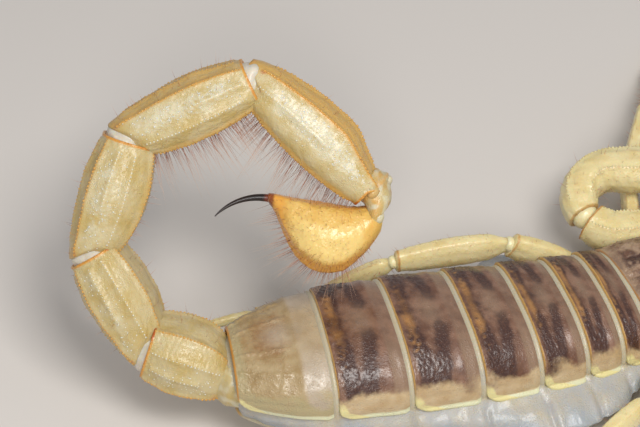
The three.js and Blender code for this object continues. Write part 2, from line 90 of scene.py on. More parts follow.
# Distance behind the carapace, middle height, half width of the plates, rise of the back, drop of the belly,
# swell of the flanks.
TRUNK_SECTIONS = [
    [0, 4.0, 6.8, 4.3, 2.2, 1.6], [4, 4.25, 7.05, 4.45, 2.45, 4.9], [8, 4.5, 7.3, 4.6, 2.75, 6.1],
    [13, 4.95, 7.55, 4.75, 3.4, 5.0], [17, 5.3, 7.75, 4.9, 3.9, 3.7], [24, 5.9, 7.7, 5.0, 4.5, 2.4],
    [30.8, 6.3, 7.4, 4.7, 4.8, 1.4], [35, 6.4, 6.4, 4.2, 4.4, 0.6], [39.8, 6.6, 4.2, 2.9, 3.3, 0],
]
TRUNK_POWER = 2.5

CARAPACE_LENGTH = 13.0
CARAPACE_FRONT_GAP = 0.15  # the carapace starts this far in front of the trunk's origin
CARAPACE_MID_HEIGHT = 4.0
# Place along X, half width, height of the top, height of the underside.
CARAPACE_SECTIONS = [
    [0.15, 6.7, 8.2, 1.6], [3.5, 6.6, 8.5, 1.4], [7.5, 5.9, 8.6, 1.4],
    [10.5, 5.1, 7.9, 1.7], [12.3, 4.6, 7.2, 2.3], [13.0, 4.2, 6.7, 2.9],
]
CARAPACE_POWER = 2.6

# Heading turns from +X towards +Y, rise is above the floor, roll turns the section about its axis.
# Depths are dorsal and ventral, at the collar, the thickest place and the rear rim.
TAIL_ROOT = (-39.03, 5.63, 6.7)
TAIL = [
    {"length": 8.06, "heading": 146.6, "rise": 14.2, "roll": 17.9, "width": 7.6,
     "dorsal": (0.9, 3.3, 2.8), "ventral": (2.9, 3.8, 3.1), "drawn": 0.0},
    {"length": 10.1, "heading": 110.6, "rise": 43.7, "roll": 48.6, "width": 7.4,
     "dorsal": (1.5, 3.06, 2.4), "ventral": (2.2, 3.2, 2.6), "drawn": 1.3},
    {"length": 11.16, "heading": 39.9, "rise": 49.3, "roll": 112.0, "width": 7.2,
     "dorsal": (1.5, 3.4, 2.6), "ventral": (2.2, 3.25, 2.6), "drawn": 1.3},
    {"length": 12.7, "heading": -7.5, "rise": 19.9, "roll": 141.0, "width": 7.0,
     "dorsal": (1.4, 2.85, 2.2), "ventral": (2.2, 3.3, 2.4), "drawn": 1.2},
    {"length": 14.83, "heading": -53.9, "rise": -31.1, "roll": 135.4, "width": 6.6,
     "dorsal": (1.4, 2.5, 1.8), "ventral": (2.1, 3.7, 2.4), "drawn": 0.7},
]
# Share of the segment's length, share of its width, and the depths' share from collar to thickest to rim.
TAIL_STATIONS = [
    [0.0, 0.62, 0.05], [0.05, 0.71, 0.24], [0.13, 0.82, 0.49], [0.27, 0.93, 0.78],
    [0.45, 1.0, 0.97], [0.62, 1.01, 1.0], [0.8, 0.96, 1.35], [0.93, 0.89, 1.75],
    [1.0, 0.84, 2.0],
]
TAIL_POWER = 2.5

NECK = {"length": 2.58, "heading": -72.8, "rise": -42.4}
VESICLE = {"length": 10.78, "width": 5.8, "heading": 150.6, "rise": 6.4, "roll": 49.4}
# Share of the vesicle's length, then its ventral bulge and its flatter dorsal side.
VESICLE_STATIONS = [
    [-0.05, 0.35, 0.15], [-0.03, 1.3, 0.6], [0.03, 2.8, 1.0], [0.12, 4.3, 0.6],
    [0.28, 5.8, 0.25], [0.42, 6.15, 0.2], [0.58, 5.7, 0.2], [0.74, 4.3, 0.25],
    [0.86, 2.35, 0.32], [0.94, 1.15, 0.34], [1.0, 0.46, 0.28],
]
ACULEUS = {"length": 5.2, "start": -4, "end": 56, "root": 0.35, "tip": 0.035}

LEG_HEIGHT_AT_HIP = 2.0
LEGS = [
    {"name": "leg_1", "hip": (10.4, 4.0), "lengths": (4.0, 6.2, 7.6, 5.6, 4.8, 3.8), "size": 0.82,
     "left": (60, 62, 68, 58, 52, 52), "right": (60, 63, 70, 62, 56, 56)},
    {"name": "leg_2", "hip": (7.6, 4.4), "lengths": (4.2, 6.8, 8.4, 6.4, 5.6, 4.2), "size": 0.88,
     "left": (65, 66, 64, 60, 58, 58), "right": (74, 78, 88, 90, 90, 90)},
    {"name": "leg_3", "hip": (4.8, 4.7), "lengths": (4.4, 7.4, 9.6, 7.0, 6.4, 4.6), "size": 0.94,
     "left": (70, 70, 52, 56, 60, 60), "right": (89, 94, 113, 122, 128, 128)},
    {"name": "leg_4", "hip": (1.9, 5.0), "lengths": (3.4, 8.5, 11.8, 8.0, 7.5, 4.9), "size": 1.0,
     "left": (142, 157.5, 168, 156.5, 169, 169), "right": (118, 129, 155, 160, 166, 166)},
]
# Rise of trochanter, femur, patella, basitarsus and tarsus; the tibia takes what is left to the floor.
LEG_RISES = {"front": (2, 20, 10, -28, -10), "hind": (15, 28.8, -1, -11, -7)}
FOOT_PAD = 0.23  # half depth of a foot of full size
# Each length of a leg: its half width and half depth at the near end, the middle and the far end, its keels,
# its bow, how hairy it is, how long its hairs are, and the size of the soft skin in the joint before it.
LEG_PARTS = [
    ([(0.95, 1.15), (1.05, 1.2), (0.9, 1.1)], (), 0.0, 0.3, 0.9, 0.0),
    ([(0.8, 1.0), (0.95, 1.7), (0.85, 1.35)], (62, -62), 0.12, 0.6, 0.9, 0.8),
    ([(0.75, 1.15), (0.95, 1.6), (0.8, 1.15)], (62, -62), 0.18, 0.7, 0.9, 0.95),
    ([(0.62, 0.9), (0.68, 1.0), (0.6, 0.85)], (70,), 0.06, 1.4, 1.4, 0.8),
    ([(0.5, 0.68), (0.52, 0.7), (0.48, 0.6)], (), 0.03, 1.8, 1.2, 0.55),
    ([(0.42, 0.52), (0.44, 0.52), (0.36, 0.42)], (), 0.04, 1.6, 0.7, 0.42),
]
LEG_PIECES = (("thigh", "femur", (0, 1)), ("knee", "patella", (2,)), ("foot", "tarsus", (3, 4, 5)))

PALP_ROOT = (9.6, 3.8, 4.7)
PALP_FEMUR = [(9.6, 6.9, 5.2), (6.2, 7.9, 5.4), (3.4, 8.7, 5.5)]
PALP_ELBOW = {"angle": 180, "radius": 3.2, "climb": 2.5, "femur_share": 2 / 7, "heading": 157}
PALP_PATELLA = 6.8
HAND = {"heading": -12, "rise": -6, "width": 6.8, "depth": 6.6}
PALM = 12.2  # length of the palm, under the roots of the fingers
# Distance from the wrist, offset from the hand's middle, and radius of a finger.
FINGER_STATIONS = [
    [9.0, 1.2, 1.25], [11.0, 1.5, 1.3], [13.5, 1.6, 1.15],
    [18, 1.45, 0.88], [22, 0.95, 0.6], [25.0, 0.25, 0.14],
]

COMB = {"length": 6.6, "tooth": 0.95, "teeth": 26, "height": 1.12, "swing": 58, "root": (-3.0, 2.0)}

MEDIAN_EYE = {"x": 7.5, "y": 0.85, "z": 8.65, "radius": 0.52}
LATERAL_EYES = {"x": 11.3, "y": 4.5, "z": 5.9, "radius": 0.34, "spacing": 0.55}

# The camera looks at AIM from AZIMUTH and ELEVATION, at DISTANCE.
CAMERA = {"aim": (-24.4, 18.43, 10.0), "azimuth": -23, "elevation": 45, "distance": 264.0, "lens": 150}

# From the trunk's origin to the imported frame: the prosoma's box gives both.
_low, _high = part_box("prosoma")
SHIFT = np.array([_low.x / MM - CARAPACE_FRONT_GAP, (_low.y + _high.y) / 2 / MM, 0.0])
SIDES = (("left", 1), ("right", -1))


# ---------- Numbers and directions ----------


def unit(vectors):
    return vectors / np.linalg.norm(vectors, axis=-1, keepdims=True)


def direction(heading, rise=0.0):
    heading, rise = math.radians(heading), math.radians(rise)
    return np.array([math.cos(rise) * math.cos(heading), math.cos(rise) * math.sin(heading), math.sin(rise)])


def turned(vector, axis, degrees):
    """The vector turned about a unit axis."""
    cosine, sine = math.cos(math.radians(degrees)), math.sin(math.radians(degrees))
    return vector * cosine + np.cross(axis, vector) * sine + axis * (vector @ axis) * (1 - cosine)


def side_and_dorsal(axis, roll=0.0):
    """A section's side and dorsal directions, with axis = side x dorsal."""
    side = turned(unit(np.cross(UP, axis)), axis, roll)
    return side, np.cross(axis, side)


def step(low, high, value):
    """0 below low, 1 above high and a smooth rise between; low may be the larger."""
    share = np.clip((value - low) / (high - low), 0, 1)
    return share * share * (3 - 2 * share)


def bell(value, centre, width):
    return np.exp(-(((value - centre) / width) ** 2))


def through(table, at):
    """Smooth columns through a table's rows, by its first column, that never overshoot them."""
    table = np.asarray(table, float)
    places, values = table[:, 0], table[:, 1:]
    gap = np.diff(places)[:, None]
    slope = np.diff(values, axis=0) / gap
    before, after = slope[:-1], slope[1:]
    same_way = before * after > 0
    inner = np.where(same_way, 2 * before * after / np.where(same_way, before + after, 1), 0)
    tangent = np.vstack([slope[:1], inner, slope[-1:]])
    at = np.clip(np.asarray(at, float), places[0], places[-1])
    row = np.clip(np.searchsorted(places, at, side="right") - 1, 0, len(places) - 2)
    width = gap[row]
    t = (at[:, None] - places[row][:, None]) / width
    ends = values[row] * (2 * t**3 - 3 * t**2 + 1) + tangent[row] * width * (t**3 - 2 * t**2 + t)
    return ends + values[row + 1] * (3 * t**2 - 2 * t**3) + tangent[row + 1] * width * (t**3 - t**2)


# ---------- Sections and surfaces ----------


class Rings:
    """A row of sections: superellipses with their own rise and drop, whose lower half may swell."""

    def __init__(self, centre, side, dorsal, half, above, below, power=2.3, swell=0.0):
        rows = len(centre)
        self.centre = np.asarray(centre, float)
        self.side = np.broadcast_to(side, (rows, 3))
        self.dorsal = np.broadcast_to(dorsal, (rows, 3))
        sizes = [np.broadcast_to(np.asarray(v, float), (rows,)) for v in (half, above, below, power, swell)]
        self.half, self.above, self.below, self.power, self.swell = [v[:, None] for v in sizes]

    def points(self, degrees):
        """The grid of points at these angles: 0 is the side, 90 the back, -90 the belly."""
        angle = np.radians(np.atleast_2d(degrees))
        cosine, sine = np.cos(angle), np.sin(angle)
        power = 2 / self.power
        swell = np.where(sine < 0, self.swell * np.sin(2 * angle), 0)
        across = self.half * np.sign(cosine) * np.abs(cosine) ** power - swell
        lift = np.where(sine > 0, self.above, self.below) * np.sign(sine) * np.abs(sine) ** power
        out = self.side[:, None] * across[..., None] + self.dorsal[:, None] * lift[..., None]
        return self.centre[:, None] + out

    def scaled(self, share):
        """The same rings with their sizes multiplied by a share."""
        self.half, self.above, self.below = self.half * share, self.above * share, self.below * share
        return self

    def ring(self, count):
        """The closed grid of points at this many even angles."""
        return self.points(np.linspace(-90, 270, count + 1)[:-1])

    def even(self, count):
        """A closed grid's angles, which stand about evenly along the middle ring, and its points."""
        dense = np.linspace(-90, 270, 1441)
        middle = self.points(dense)[len(self.centre) // 2]
        walked = lengths_round(middle[None])[0]
        angles = np.interp(np.linspace(0, walked[-1], count), walked, dense)[:-1]
        return angles, self.points(angles)


def lengths_round(points):
    """How far each point of a grid lies along its ring, from the first one."""
    steps = np.linalg.norm(np.diff(points, axis=1), axis=2)
    return np.hstack([np.zeros((len(points), 1)), np.cumsum(steps, axis=1)])


def outward(points, closed=True):
    """The normals of a grid whose columns run from the side over the back."""
    around = np.roll(points, -1, axis=1) - np.roll(points, 1, axis=1) if closed else np.gradient(points, axis=1)
    return unit(np.cross(around, np.gradient(points, axis=0)) + 1e-12)


def raised(points, height):
    """A closed grid with each point moved outward by its height."""
    return points + outward(points) * height[..., None]


def hairs(much, length, thickness, lean):
    """What the hair tree reads: hairs to a square millimetre, their size in millimetres and their lean."""
    lean = np.asarray(lean, float)
    return {
        "hair": much, "hair_length": np.asarray(length) * MM, "hair_thick": np.asarray(thickness) * MM,
        "lean": lean[None, None] if lean.ndim == 1 else lean,
    }


def set_values(mesh, name, values):
    """Gives a mesh's points a named number or vector each."""
    values = np.asarray(values, np.float32)
    vectors = values.ndim == 2 and values.shape[1] == 3
    kind, field = ("FLOAT_VECTOR", "vector") if vectors else ("FLOAT", "value")
    mesh.attributes.new(name, kind, "POINT").data.foreach_set(field, values.ravel())


def placed(name, data):
    """A new object of a mesh, lamp or camera, in the scene."""
    made = bpy.data.objects.new(name, data)
    bpy.context.scene.collection.objects.link(made)
    return made


class Surface:
    """Collects closed grids into one mesh with a skin map and named values at its points."""

    def __init__(self):
        self.points, self.faces, self.map, self.values, self.count = [], [], [], [], 0

    def grid(self, points, plate=False, **values):
        """Adds a grid. Fans close its ends, or, on a flat plate of two skins, the faces between the skins."""
        rows, columns = points.shape[:2]
        index = self.count + np.arange(rows * columns).reshape(rows, columns)
        index = np.hstack([index, index[:, :1]])
        mapped = np.stack(np.meshgrid(np.linspace(0, 1, columns + 1), np.linspace(0, 1, rows)), -1)

        def corners(grid):
            return np.stack([grid[:-1, :-1], grid[:-1, 1:], grid[1:, 1:], grid[1:, :-1]], 2)

        self.faces += corners(index).reshape(-1, 4).tolist()
        self.map.append(corners(mapped).reshape(-1, 2))
        flat = {}
        for key, value in values.items():
            spread = np.broadcast_to(value, (rows, columns) + np.shape(value)[2:])
            flat[key] = spread.reshape(rows * columns, -1)
        self.points.append(points.reshape(-1, 3))
        self.values.append(flat)
        self.count += rows * columns
        for row, flip in ((0, True), (rows - 1, False)):
            if plate:
                self._fold(index[row], mapped[row], flip)
            else:
                self._fan(points[row], index[row], mapped[row], flip, flat, row * columns)

    def _fan(self, ring, index, mapped, flip, flat, first):
        self.points.append(ring.mean(0)[None])
        self.values.append({key: value[first:first + len(ring)].mean(0)[None] for key, value in flat.items()})
        middle = mapped.mean(0)
        for k in range(len(ring)):
            pair = (k + 1, k) if flip else (k, k + 1)
            self.faces.append([self.count, int(index[pair[0]]), int(index[pair[1]])])
            self.map.append(np.array([middle, mapped[pair[0]], mapped[pair[1]]]))
        self.count += 1

    def _fold(self, index, mapped, flip):
        last = len(index) - 2
        for k in range(last // 2):
            corner = [k, k + 1, last - k - 1, last - k][::-1 if flip else 1]
            self.faces.append([int(index[c]) for c in corner])
            self.map.append(mapped[corner])

    def build(self, name):
        """The mesh object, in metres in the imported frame."""
        mesh = bpy.data.meshes.new(name)
        points = (np.concatenate(self.points) + SHIFT) * MM
        points[:, 2] = np.maximum(points[:, 2], 0)  # the pads of the feet lie flat on the floor
        mesh.from_pydata(points, [], self.faces)
        skin = mesh.uv_layers.new(name="Skin")
        skin.data.foreach_set("uv", np.concatenate(self.map).astype(np.float32).ravel())
        widths = {key: value.shape[1] for part in self.values for key, value in part.items()}
        for key, width in widths.items():
            filled = [part.get(key, np.zeros((len(p), width))) for part, p in zip(self.values, self.points)]
            set_values(mesh, key, np.concatenate(filled))
        mesh.shade_smooth()
        return placed(name, mesh)


def mount(piece, material, slot, *nodes):
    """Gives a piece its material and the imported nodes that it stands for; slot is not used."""
    piece.data.materials.clear()
    piece.data.materials.append(material)
    if nodes:
        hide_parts(*nodes)
    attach(piece, "root")


def rounded(share, front, back):
    """1 along a length, and a quarter round down to nearly 0 within front and back of its ends."""
    near = np.clip(1 - share / front, 0, 1) if front else 0 * share
    far = np.clip(1 - (1 - share) / back, 0, 1) if back else 0 * share
    return np.sqrt(np.clip(1 - near**2, 0.0025, 1)) * np.sqrt(np.clip(1 - far**2, 0.0025, 1))


def keel_distance(points, angles, keel):
    """How far each point of a closed grid is from the line at the keel's angle, round the ring."""
    walked = lengths_round(points)
    wanted = np.mod(keel + 90, 360) - 90
    at = np.array([np.interp(wanted, angles, row) for row in walked])[:, None]
    whole = walked[:, -1:] + np.linalg.norm(points[:, :1] - points[:, -1:], axis=2)
    apart = np.abs(walked - at)
    return np.minimum(apart, whole - apart)


def keels_over(points, angles, keels, width):
    """1 on these keels of a closed grid, and less away from them."""
    if not keels:
        return np.zeros(points.shape[:2])
    return bell(np.min([keel_distance(points, angles, keel) for keel in keels], 0), 0, width)


def both_sides(angle):
    """A keel's angle and its mirror image, or the one angle of a keel on the midline."""
    return [angle] if abs(abs(angle) - 90) < 1e-6 else [angle, 180 - angle]


def ripples(points, size, seed):
    """A smooth random field over points, of about this grain in millimetres, mostly between -1 and 1."""
    random = np.random.default_rng(seed)
    ways = unit(random.normal(size=(RIPPLE_WAVES, 3))) * (2 * math.pi / size)
    ways = ways * random.uniform(0.7, 1.4, (RIPPLE_WAVES, 1))
    phases = random.uniform(0, 2 * math.pi, RIPPLE_WAVES)
    return np.cos(points @ ways.T + phases).sum(-1) / math.sqrt(RIPPLE_WAVES)


# ---------- Node trees ----------


def shade(red, green, blue):
    """A colour as the eye reads it, 0 to 255, as the light values that Blender takes."""
    values = [v / 255 for v in (red, green, blue)]
    return tuple(v / 12.92 if v <= 0.04045 else ((v + 0.055) / 1.055) ** 2.4 for v in values)


class Graph:
    """Wires a node tree with short calls."""

    def __init__(self, tree):
        self.tree = tree

    def feed(self, node, values):
        """Links or sets each of a node's inputs."""
        for key, value in values.items():
            if isinstance(value, bpy.types.NodeSocket):
                self.tree.links.new(value, node.inputs[key])
            else:
                node.inputs[key].default_value = value

    def put(self, kind, values=None, **settings):
        node = self.tree.nodes.new(kind)
        for key, value in settings.items():
            setattr(node, key, value)
        self.feed(node, values or {})
        return node

    def out(self, kind, values=None, **settings):
        """The first output of a new node."""
        return self.put(kind, values, **settings).outputs[0]

    def math(self, operation, a, b):
        return self.out("ShaderNodeMath", {0: a, 1: b}, operation=operation)

    def times(self, value, *factors):
        for factor in factors:
            value = self.math("MULTIPLY", value, factor)
        return value

    def plus(self, a, b):
        return self.math("ADD", a, b)

    def minus(self, a, b):
        return self.math("SUBTRACT", a, b)

    def vector(self, x=0.0, y=0.0, z=0.0):
        return self.out("ShaderNodeCombineXYZ", {0: x, 1: y, 2: z})

    def scaled(self, vector, share):
        return self.out("ShaderNodeVectorMath", {0: vector, "Scale": share}, operation="SCALE")

    def mix(self, factor, a, b):
        """A blend of two colours, each a socket or its red, green and blue."""
        a, b = [c if isinstance(c, bpy.types.NodeSocket) else (*c[:3], 1.0) for c in (a, b)]
        return self.put("ShaderNodeMix", {0: factor, 6: a, 7: b}, data_type="RGBA").outputs[2]

    def rise(self, value, low, high):
        sockets = {"Value": value, "From Min": low, "From Max": high}
        return self.out("ShaderNodeMapRange", sockets, interpolation_type="SMOOTHSTEP")

    def between(self, value, low, high):
        return self.out("ShaderNodeMapRange", {"Value": value, "To Min": low, "To Max": high})

    def named(self, name):
        return self.put("ShaderNodeAttribute", attribute_name=name).outputs["Fac"]

    def pattern(self, kind, scale, **values):
        """A texture on the piece's own coordinates."""
        place = self.put("ShaderNodeTexCoord").outputs["Object"]
        return self.out("ShaderNodeTex" + kind, {"Vector": place, "Scale": scale, **values})

    def noise(self, size, detail=2.0):
        """Noise whose lumps are about this many millimetres across."""
        return self.pattern("Noise", 1 / (size * MM), Detail=detail)

    def broken(self, mask, size, amount):
        """A named mask whose edge is broken up by noise of this size in millimetres."""
        values = {"Mask": self.named(mask), "Scale": 1 / (size * MM), "Amount": amount}
        return self.out("ShaderNodeGroup", values, node_tree=broken_mask())

    def grain(self, size, patchiness):
        """Height and fleck of granules of this size in millimetres."""
        values = {"Scale": 1 / (size * MM), "Patchiness": patchiness}
        return self.put("ShaderNodeGroup", values, node_tree=cuticle_grain()).outputs

    def stored(self, name, kind="FLOAT"):
        """A named value, in a geometry tree."""
        return self.out("GeometryNodeInputNamedAttribute", {"Name": name}, data_type=kind)

    def store(self, geometry, name, value, kind, domain):
        values = {"Geometry": geometry, "Name": name, "Value": value}
        return self.out("GeometryNodeStoreNamedAttribute", values, data_type=kind, domain=domain)

    def random(self, low, high, seed):
        sockets = {2: low, 3: high, "Seed": seed}
        return self.put("FunctionNodeRandomValue", sockets, data_type="FLOAT").outputs[1]

    def scattered(self, given, density):
        """Points strewn over a mesh, as thickly as its named value says."""
        density = self.times(self.stored(density), given["Density"])
        values = {"Mesh": given["Geometry"], "Density": density, "Seed": given["Seed"]}
        return self.put("GeometryNodeDistributePointsOnFaces", values).outputs

    def copies(self, points, shape, size, **turned):
        values = {"Points": points, "Instance": shape, "Scale": size, **turned}
        return self.out("GeometryNodeInstanceOnPoints", values)


SOCKET_KINDS = {float: "Float", int: "Int"}


def new_group(name, kind, inputs, outputs):
    """A node group, its graph, input and output. A socket is given by its default or its kind."""
    tree = bpy.data.node_groups.new(name, kind)
    for way, sockets in (("INPUT", inputs), ("OUTPUT", outputs)):
        for label, given in sockets.items():
            socket_type = "NodeSocket" + SOCKET_KINDS.get(type(given), str(given))
            socket = tree.interface.new_socket(name=label, in_out=way, socket_type=socket_type)
            if not isinstance(given, str):
                socket.default_value = given
    graph = Graph(tree)
    return tree, graph, graph.put("NodeGroupInput").outputs, graph.put("NodeGroupOutput")


def once(name):
    """Builds a node group when it is first asked for, and finds it by its name after that."""
    return lambda build: lambda: bpy.data.node_groups.get(name) or build(name)


@once("Broken mask")
def broken_mask(name):
    """A soft-edged mask whose edge is broken up by noise."""
    inputs = {"Mask": 0.0, "Scale": 1000.0, "Amount": 0.4}
    tree, graph, given, end = new_group(name, "ShaderNodeTree", inputs, {"Mask": "Float"})
    shift = graph.times(graph.minus(graph.pattern("Noise", given["Scale"], Detail=3.0), 0.5), given["Amount"])
    graph.feed(end, {"Mask": graph.rise(graph.plus(given["Mask"], shift), 0.2, 0.8)})
    return tree


@once("Cuticle grain")
def cuticle_grain(name):
    """The fine granules of a shell: their height, and a painted glint, a paler colour painted on the top of
    each as a highlight.
    """
    inputs = {"Scale": 6000.0, "Patchiness": 0.5}
    tree, graph, given, end = new_group(name, "ShaderNodeTree", inputs, {"Height": "Float", "Fleck": "Float"})
    dome = graph.minus(1.0, graph.rise(graph.pattern("Voronoi", given["Scale"], Randomness=0.85), 0.05, 0.6))
    patches = graph.rise(graph.pattern("Noise", graph.times(given["Scale"], 0.12), Detail=2.0), 0.3, 0.65)
    kept = graph.minus(1.0, graph.times(given["Patchiness"], graph.minus(1.0, patches)))
    height = graph.times(dome, kept)
    # Painted highlight: the second output marks the top of each granule, which the materials lighten as a
    # painted glint.
    graph.feed(end, {"Height": height, "Fleck": graph.rise(height, 0.55, 0.95)})
    return tree


def new_material(name):
    """An empty material with a Principled shader: the material, its graph and the shader."""
    material = bpy.data.materials.new(name)
    material.use_nodes = True
    material.node_tree.nodes.clear()
    graph = Graph(material.node_tree)
    shader = graph.put("ShaderNodeBsdfPrincipled")
    graph.put("ShaderNodeOutputMaterial", {"Surface": shader.outputs["BSDF"]})
    return material, graph, shader


def dress(graph, shader, colour, roughness, height, depth, glow=0.0, wet=0.0):
    """Feeds a shader: depth is the bump's, in millimetres, glow lets light in, and wet is a clear coat."""
    graph.feed(shader, {
        "Base Color": colour, "Roughness": roughness,
        "Normal": graph.out("ShaderNodeBump", {"Strength": 1.0, "Distance": depth * MM, "Height": height}),
        "Subsurface Weight": glow, "Subsurface Radius": (1.0, 0.6, 0.3), "Subsurface Scale": 1.0 * MM,
        "Coat Weight": wet, "Coat Roughness": 0.15,
    })


# Each mask of a shell is a named value of its points, with the size and the amount of its broken edge.
SHELL_MASKS = (("tan", 1.2, 0.5), ("pale", 1.0, 0.5), ("edge", 0.35, 0.45), ("dark", 0.5, 0.5))
# Each shell's base, pale, tan, edge and dark colours, by the names of their settings or as the eye reads them,
# then its roughness, the size and the depth of its grain, how much pale colour is painted on granule tops as a
# glint, its glow and how wet it looks.
SHELLS = {
    "Tail straw": ("straw", "chalk", "tan", "keel", "rim", 0.34, 0.17, 0.035, 0.45, 0.3, 0.15),
    "Keel beads": ("keel", "tan", None, None, None, 0.3, 0.3, 0.01, 0.1, 0.15, 0.3),
    # These granules and weak ridges are near white partly as their own pale colour and partly as painted glint.
    "Chalky granules": ((234, 226, 200), (242, 238, 224), None, None, None, 0.3, 0.3, 0.005, 0.0, 0.3, 0.3),
    "Joint skin": ("membrane", (216, 208, 192), "rim", None, None, 0.4, 0.25, 0.02, 0.1, 0.35, 0.2),
    "Telson amber": ("amber", "honey", "orange", "brown", None, 0.3, 0.3, 0.035, 0.12, 0.3, 0.25),
    "Sting": ("sting", (44, 20, 14), "brown", "sting_root", None, 0.3, 0.5, 0.004, 0.0, 0.0, 0.15),
    "Soft skin": ("skin", "cream", "fold", "belly_blue", None, 0.42, 0.22, 0.03, 0.35, 0.35, 0.25),
    "Belly plates": ("belly", "cream", "line", None, "brown", 0.36, 0.3, 0.02, 0.15, 0.25, 0.2),
    "Eyes": ("eye", (40, 30, 24), None, None, None, 0.08, 0.4, 0.001, 0.0, 0.0, 1.0),
    "Limb yellow": ("limb", "limb_pale", "limb_tan", "limb_edge", "limb_dark",
                    0.34, 0.24, 0.025, 0.25, 0.3, 0.2),
    "Chelicerae": ("honey", "limb_pale", "limb_tan", "limb_edge", "claw", 0.3, 0.25, 0.02, 0.15, 0.25, 0.3),
    "Comb cream": ("comb", "cream_white", "comb_tan", "comb_tan", None, 0.4, 0.18, 0.015, 0.1, 0.3, 0.15),
}


def shell_material(name, options):
    """Cuticle: a mottled base, then its tan, pale, edge and dark zones, and a fine grain of granules with a
    painted glint on top.
    """
    if name in bpy.data.materials:
        return bpy.data.materials[name]
    *tones, rough, grain, depth, painted_glint, glow, wet = SHELLS[name]
    colours = {
        zone: getattr(options, tone) if isinstance(tone, str) else shade(*tone)
        for zone, tone in zip(("base", "pale", "tan", "edge", "dark"), tones) if tone
    }
    material, graph, shader = new_material(name)
    mottle = graph.rise(graph.noise(1.8, 4.0), 0.3, 0.7)
    colour = graph.mix(graph.times(mottle, 0.5), colours["base"], colours["pale"])
    for mask, size, amount in SHELL_MASKS:
        if mask in colours:
            colour = graph.mix(graph.broken(mask, size, amount), colour, colours[mask])
    granules = graph.grain(grain, 0.6)
    # Painted highlight: the top of each granule is lightened towards the pale colour, a painted glint.
    colour = graph.mix(graph.times(granules["Fleck"], painted_glint), colour, colours["pale"])
    roughness = graph.between(graph.noise(0.7, 3.0), rough - 0.08, rough + 0.12)
    dress(graph, shader, colour, roughness, granules["Height"], depth, glow, wet)
    return material


# ---------- Geometry node trees ----------


def repeat_tree(name, inputs):
    """A geometry tree that takes a mesh and named numbers: its graph, its inputs and a way to end it."""
    sockets = {"Geometry": "Geometry", **inputs, "Material": "Material"}
    tree, graph, given, end = new_group(name, "GeometryNodeTree", sockets, {"Geometry": "Geometry"})

    def finish(instances):
        real = graph.out("GeometryNodeRealizeInstances", {"Geometry": instances})
        smooth = graph.out("GeometryNodeSetShadeSmooth", {"Geometry": real})
        sockets = {"Geometry": smooth, "Material": given["Material"]}
        graph.feed(end, {"Geometry": graph.out("GeometryNodeSetMaterial", sockets)})
        return tree

    return graph, given, finish


@once("Beads")
def bead_tree(name):
    """Small round beads along lines of points; the named value bead is each place's radius."""
    graph, given, finish = repeat_tree(name, {"Spacing": 0.4 * MM, "Seed": 3})
    curve = graph.out("GeometryNodeMeshToCurve", {"Mesh": given["Geometry"]})
    even = graph.out("GeometryNodeResampleCurve", {"Curve": curve, "Length": given["Spacing"]}, mode="LENGTH")
    bead = graph.out("GeometryNodeMeshUVSphere", {"Segments": 7, "Rings": 5, "Radius": 1.0})
    size = graph.times(graph.stored("bead"), graph.random(0.75, 1.2, given["Seed"]))
    return finish(graph.copies(even, bead, size))


@once("Granules")
def granule_tree(name):
    """Low round granules on a mesh, as many as its named value granule says."""
    graph, given, finish = repeat_tree(name, {"Density": 1e6, "Radius": 0.08 * MM, "Seed": 5})
    roots = graph.scattered(given, "granule")
    bead = graph.out("GeometryNodeMeshIcoSphere", {"Radius": 1.0, "Subdivisions": 1})
    size = graph.times(graph.random(0.5, 1.25, graph.plus(given["Seed"], 1.0)), given["Radius"])
    flat = graph.vector(size, size, graph.times(size, 0.6))
    return finish(graph.copies(roots["Points"], bead, flat, Rotation=roots["Rotation"]))


@once("Hairs")
def hair_tree(name):
    """Bent tapering hairs on a mesh, by its values hair (how many), hair_length, hair_thick and lean."""
    sizes = {"Density": 1e6, "Length": 1.0, "Thickness": 1.0, "Spread": 0.35, "Bend": 0.16, "Seed": 7}
    graph, given, finish = repeat_tree(name, sizes)
    vector = "FLOAT_VECTOR"
    roots = graph.scattered(given, "hair")
    cone = graph.out("GeometryNodeMeshCone", {
        "Vertices": 3, "Side Segments": 4, "Radius Top": 0.0, "Radius Bottom": 1.0, "Depth": 1.0,
    }, fill_type="NONE")
    cone = graph.store(cone, "strand", graph.out("GeometryNodeInputPosition"), vector, "POINT")

    def stray(offset, low=-1.0):
        return graph.random(low, 1.0, graph.plus(given["Seed"], offset))

    jitter = graph.scaled(graph.vector(stray(1.0), stray(2.0), stray(3.0)), given["Spread"])
    way = graph.out("ShaderNodeVectorMath", {0: roots["Normal"], 1: graph.stored("lean", vector)})
    way = graph.out("ShaderNodeVectorMath", {0: way, 1: jitter})
    rotation = graph.out("FunctionNodeAlignRotationToVector", {"Vector": way}, axis="Z")
    turn = graph.out("FunctionNodeEulerToRotation", {0: graph.vector(z=graph.times(stray(4.0), math.pi))})
    sockets = {"Rotation": rotation, "Rotate By": turn}
    rotation = graph.out("FunctionNodeRotateRotation", sockets, rotation_space="LOCAL")

    varied = graph.plus(graph.times(graph.math("POWER", stray(5.0, 0.0), 1.6), 0.8), 0.3)
    length = graph.times(graph.stored("hair_length"), given["Length"], varied)
    thick = graph.times(graph.stored("hair_thick"), given["Thickness"])
    grown = graph.copies(roots["Points"], cone, graph.vector(thick, thick, length), Rotation=rotation)
    grown = graph.store(grown, "hair_scale", length, "FLOAT", "INSTANCE")
    grown = graph.store(grown, "hair_way", graph.stored("lean", vector), vector, "INSTANCE")
    grown = graph.out("GeometryNodeRealizeInstances", {"Geometry": grown})

    # Each hair bends over, towards the way it leans, the more the nearer to its tip.
    height = graph.put("ShaderNodeSeparateXYZ", {0: graph.stored("strand", vector)}).outputs["Z"]
    bend = graph.times(height, height, given["Bend"], graph.stored("hair_scale"))
    offset = graph.scaled(graph.stored("hair_way", vector), bend)
    return finish(graph.out("GeometryNodeSetPosition", {"Geometry": grown, "Offset": offset}))


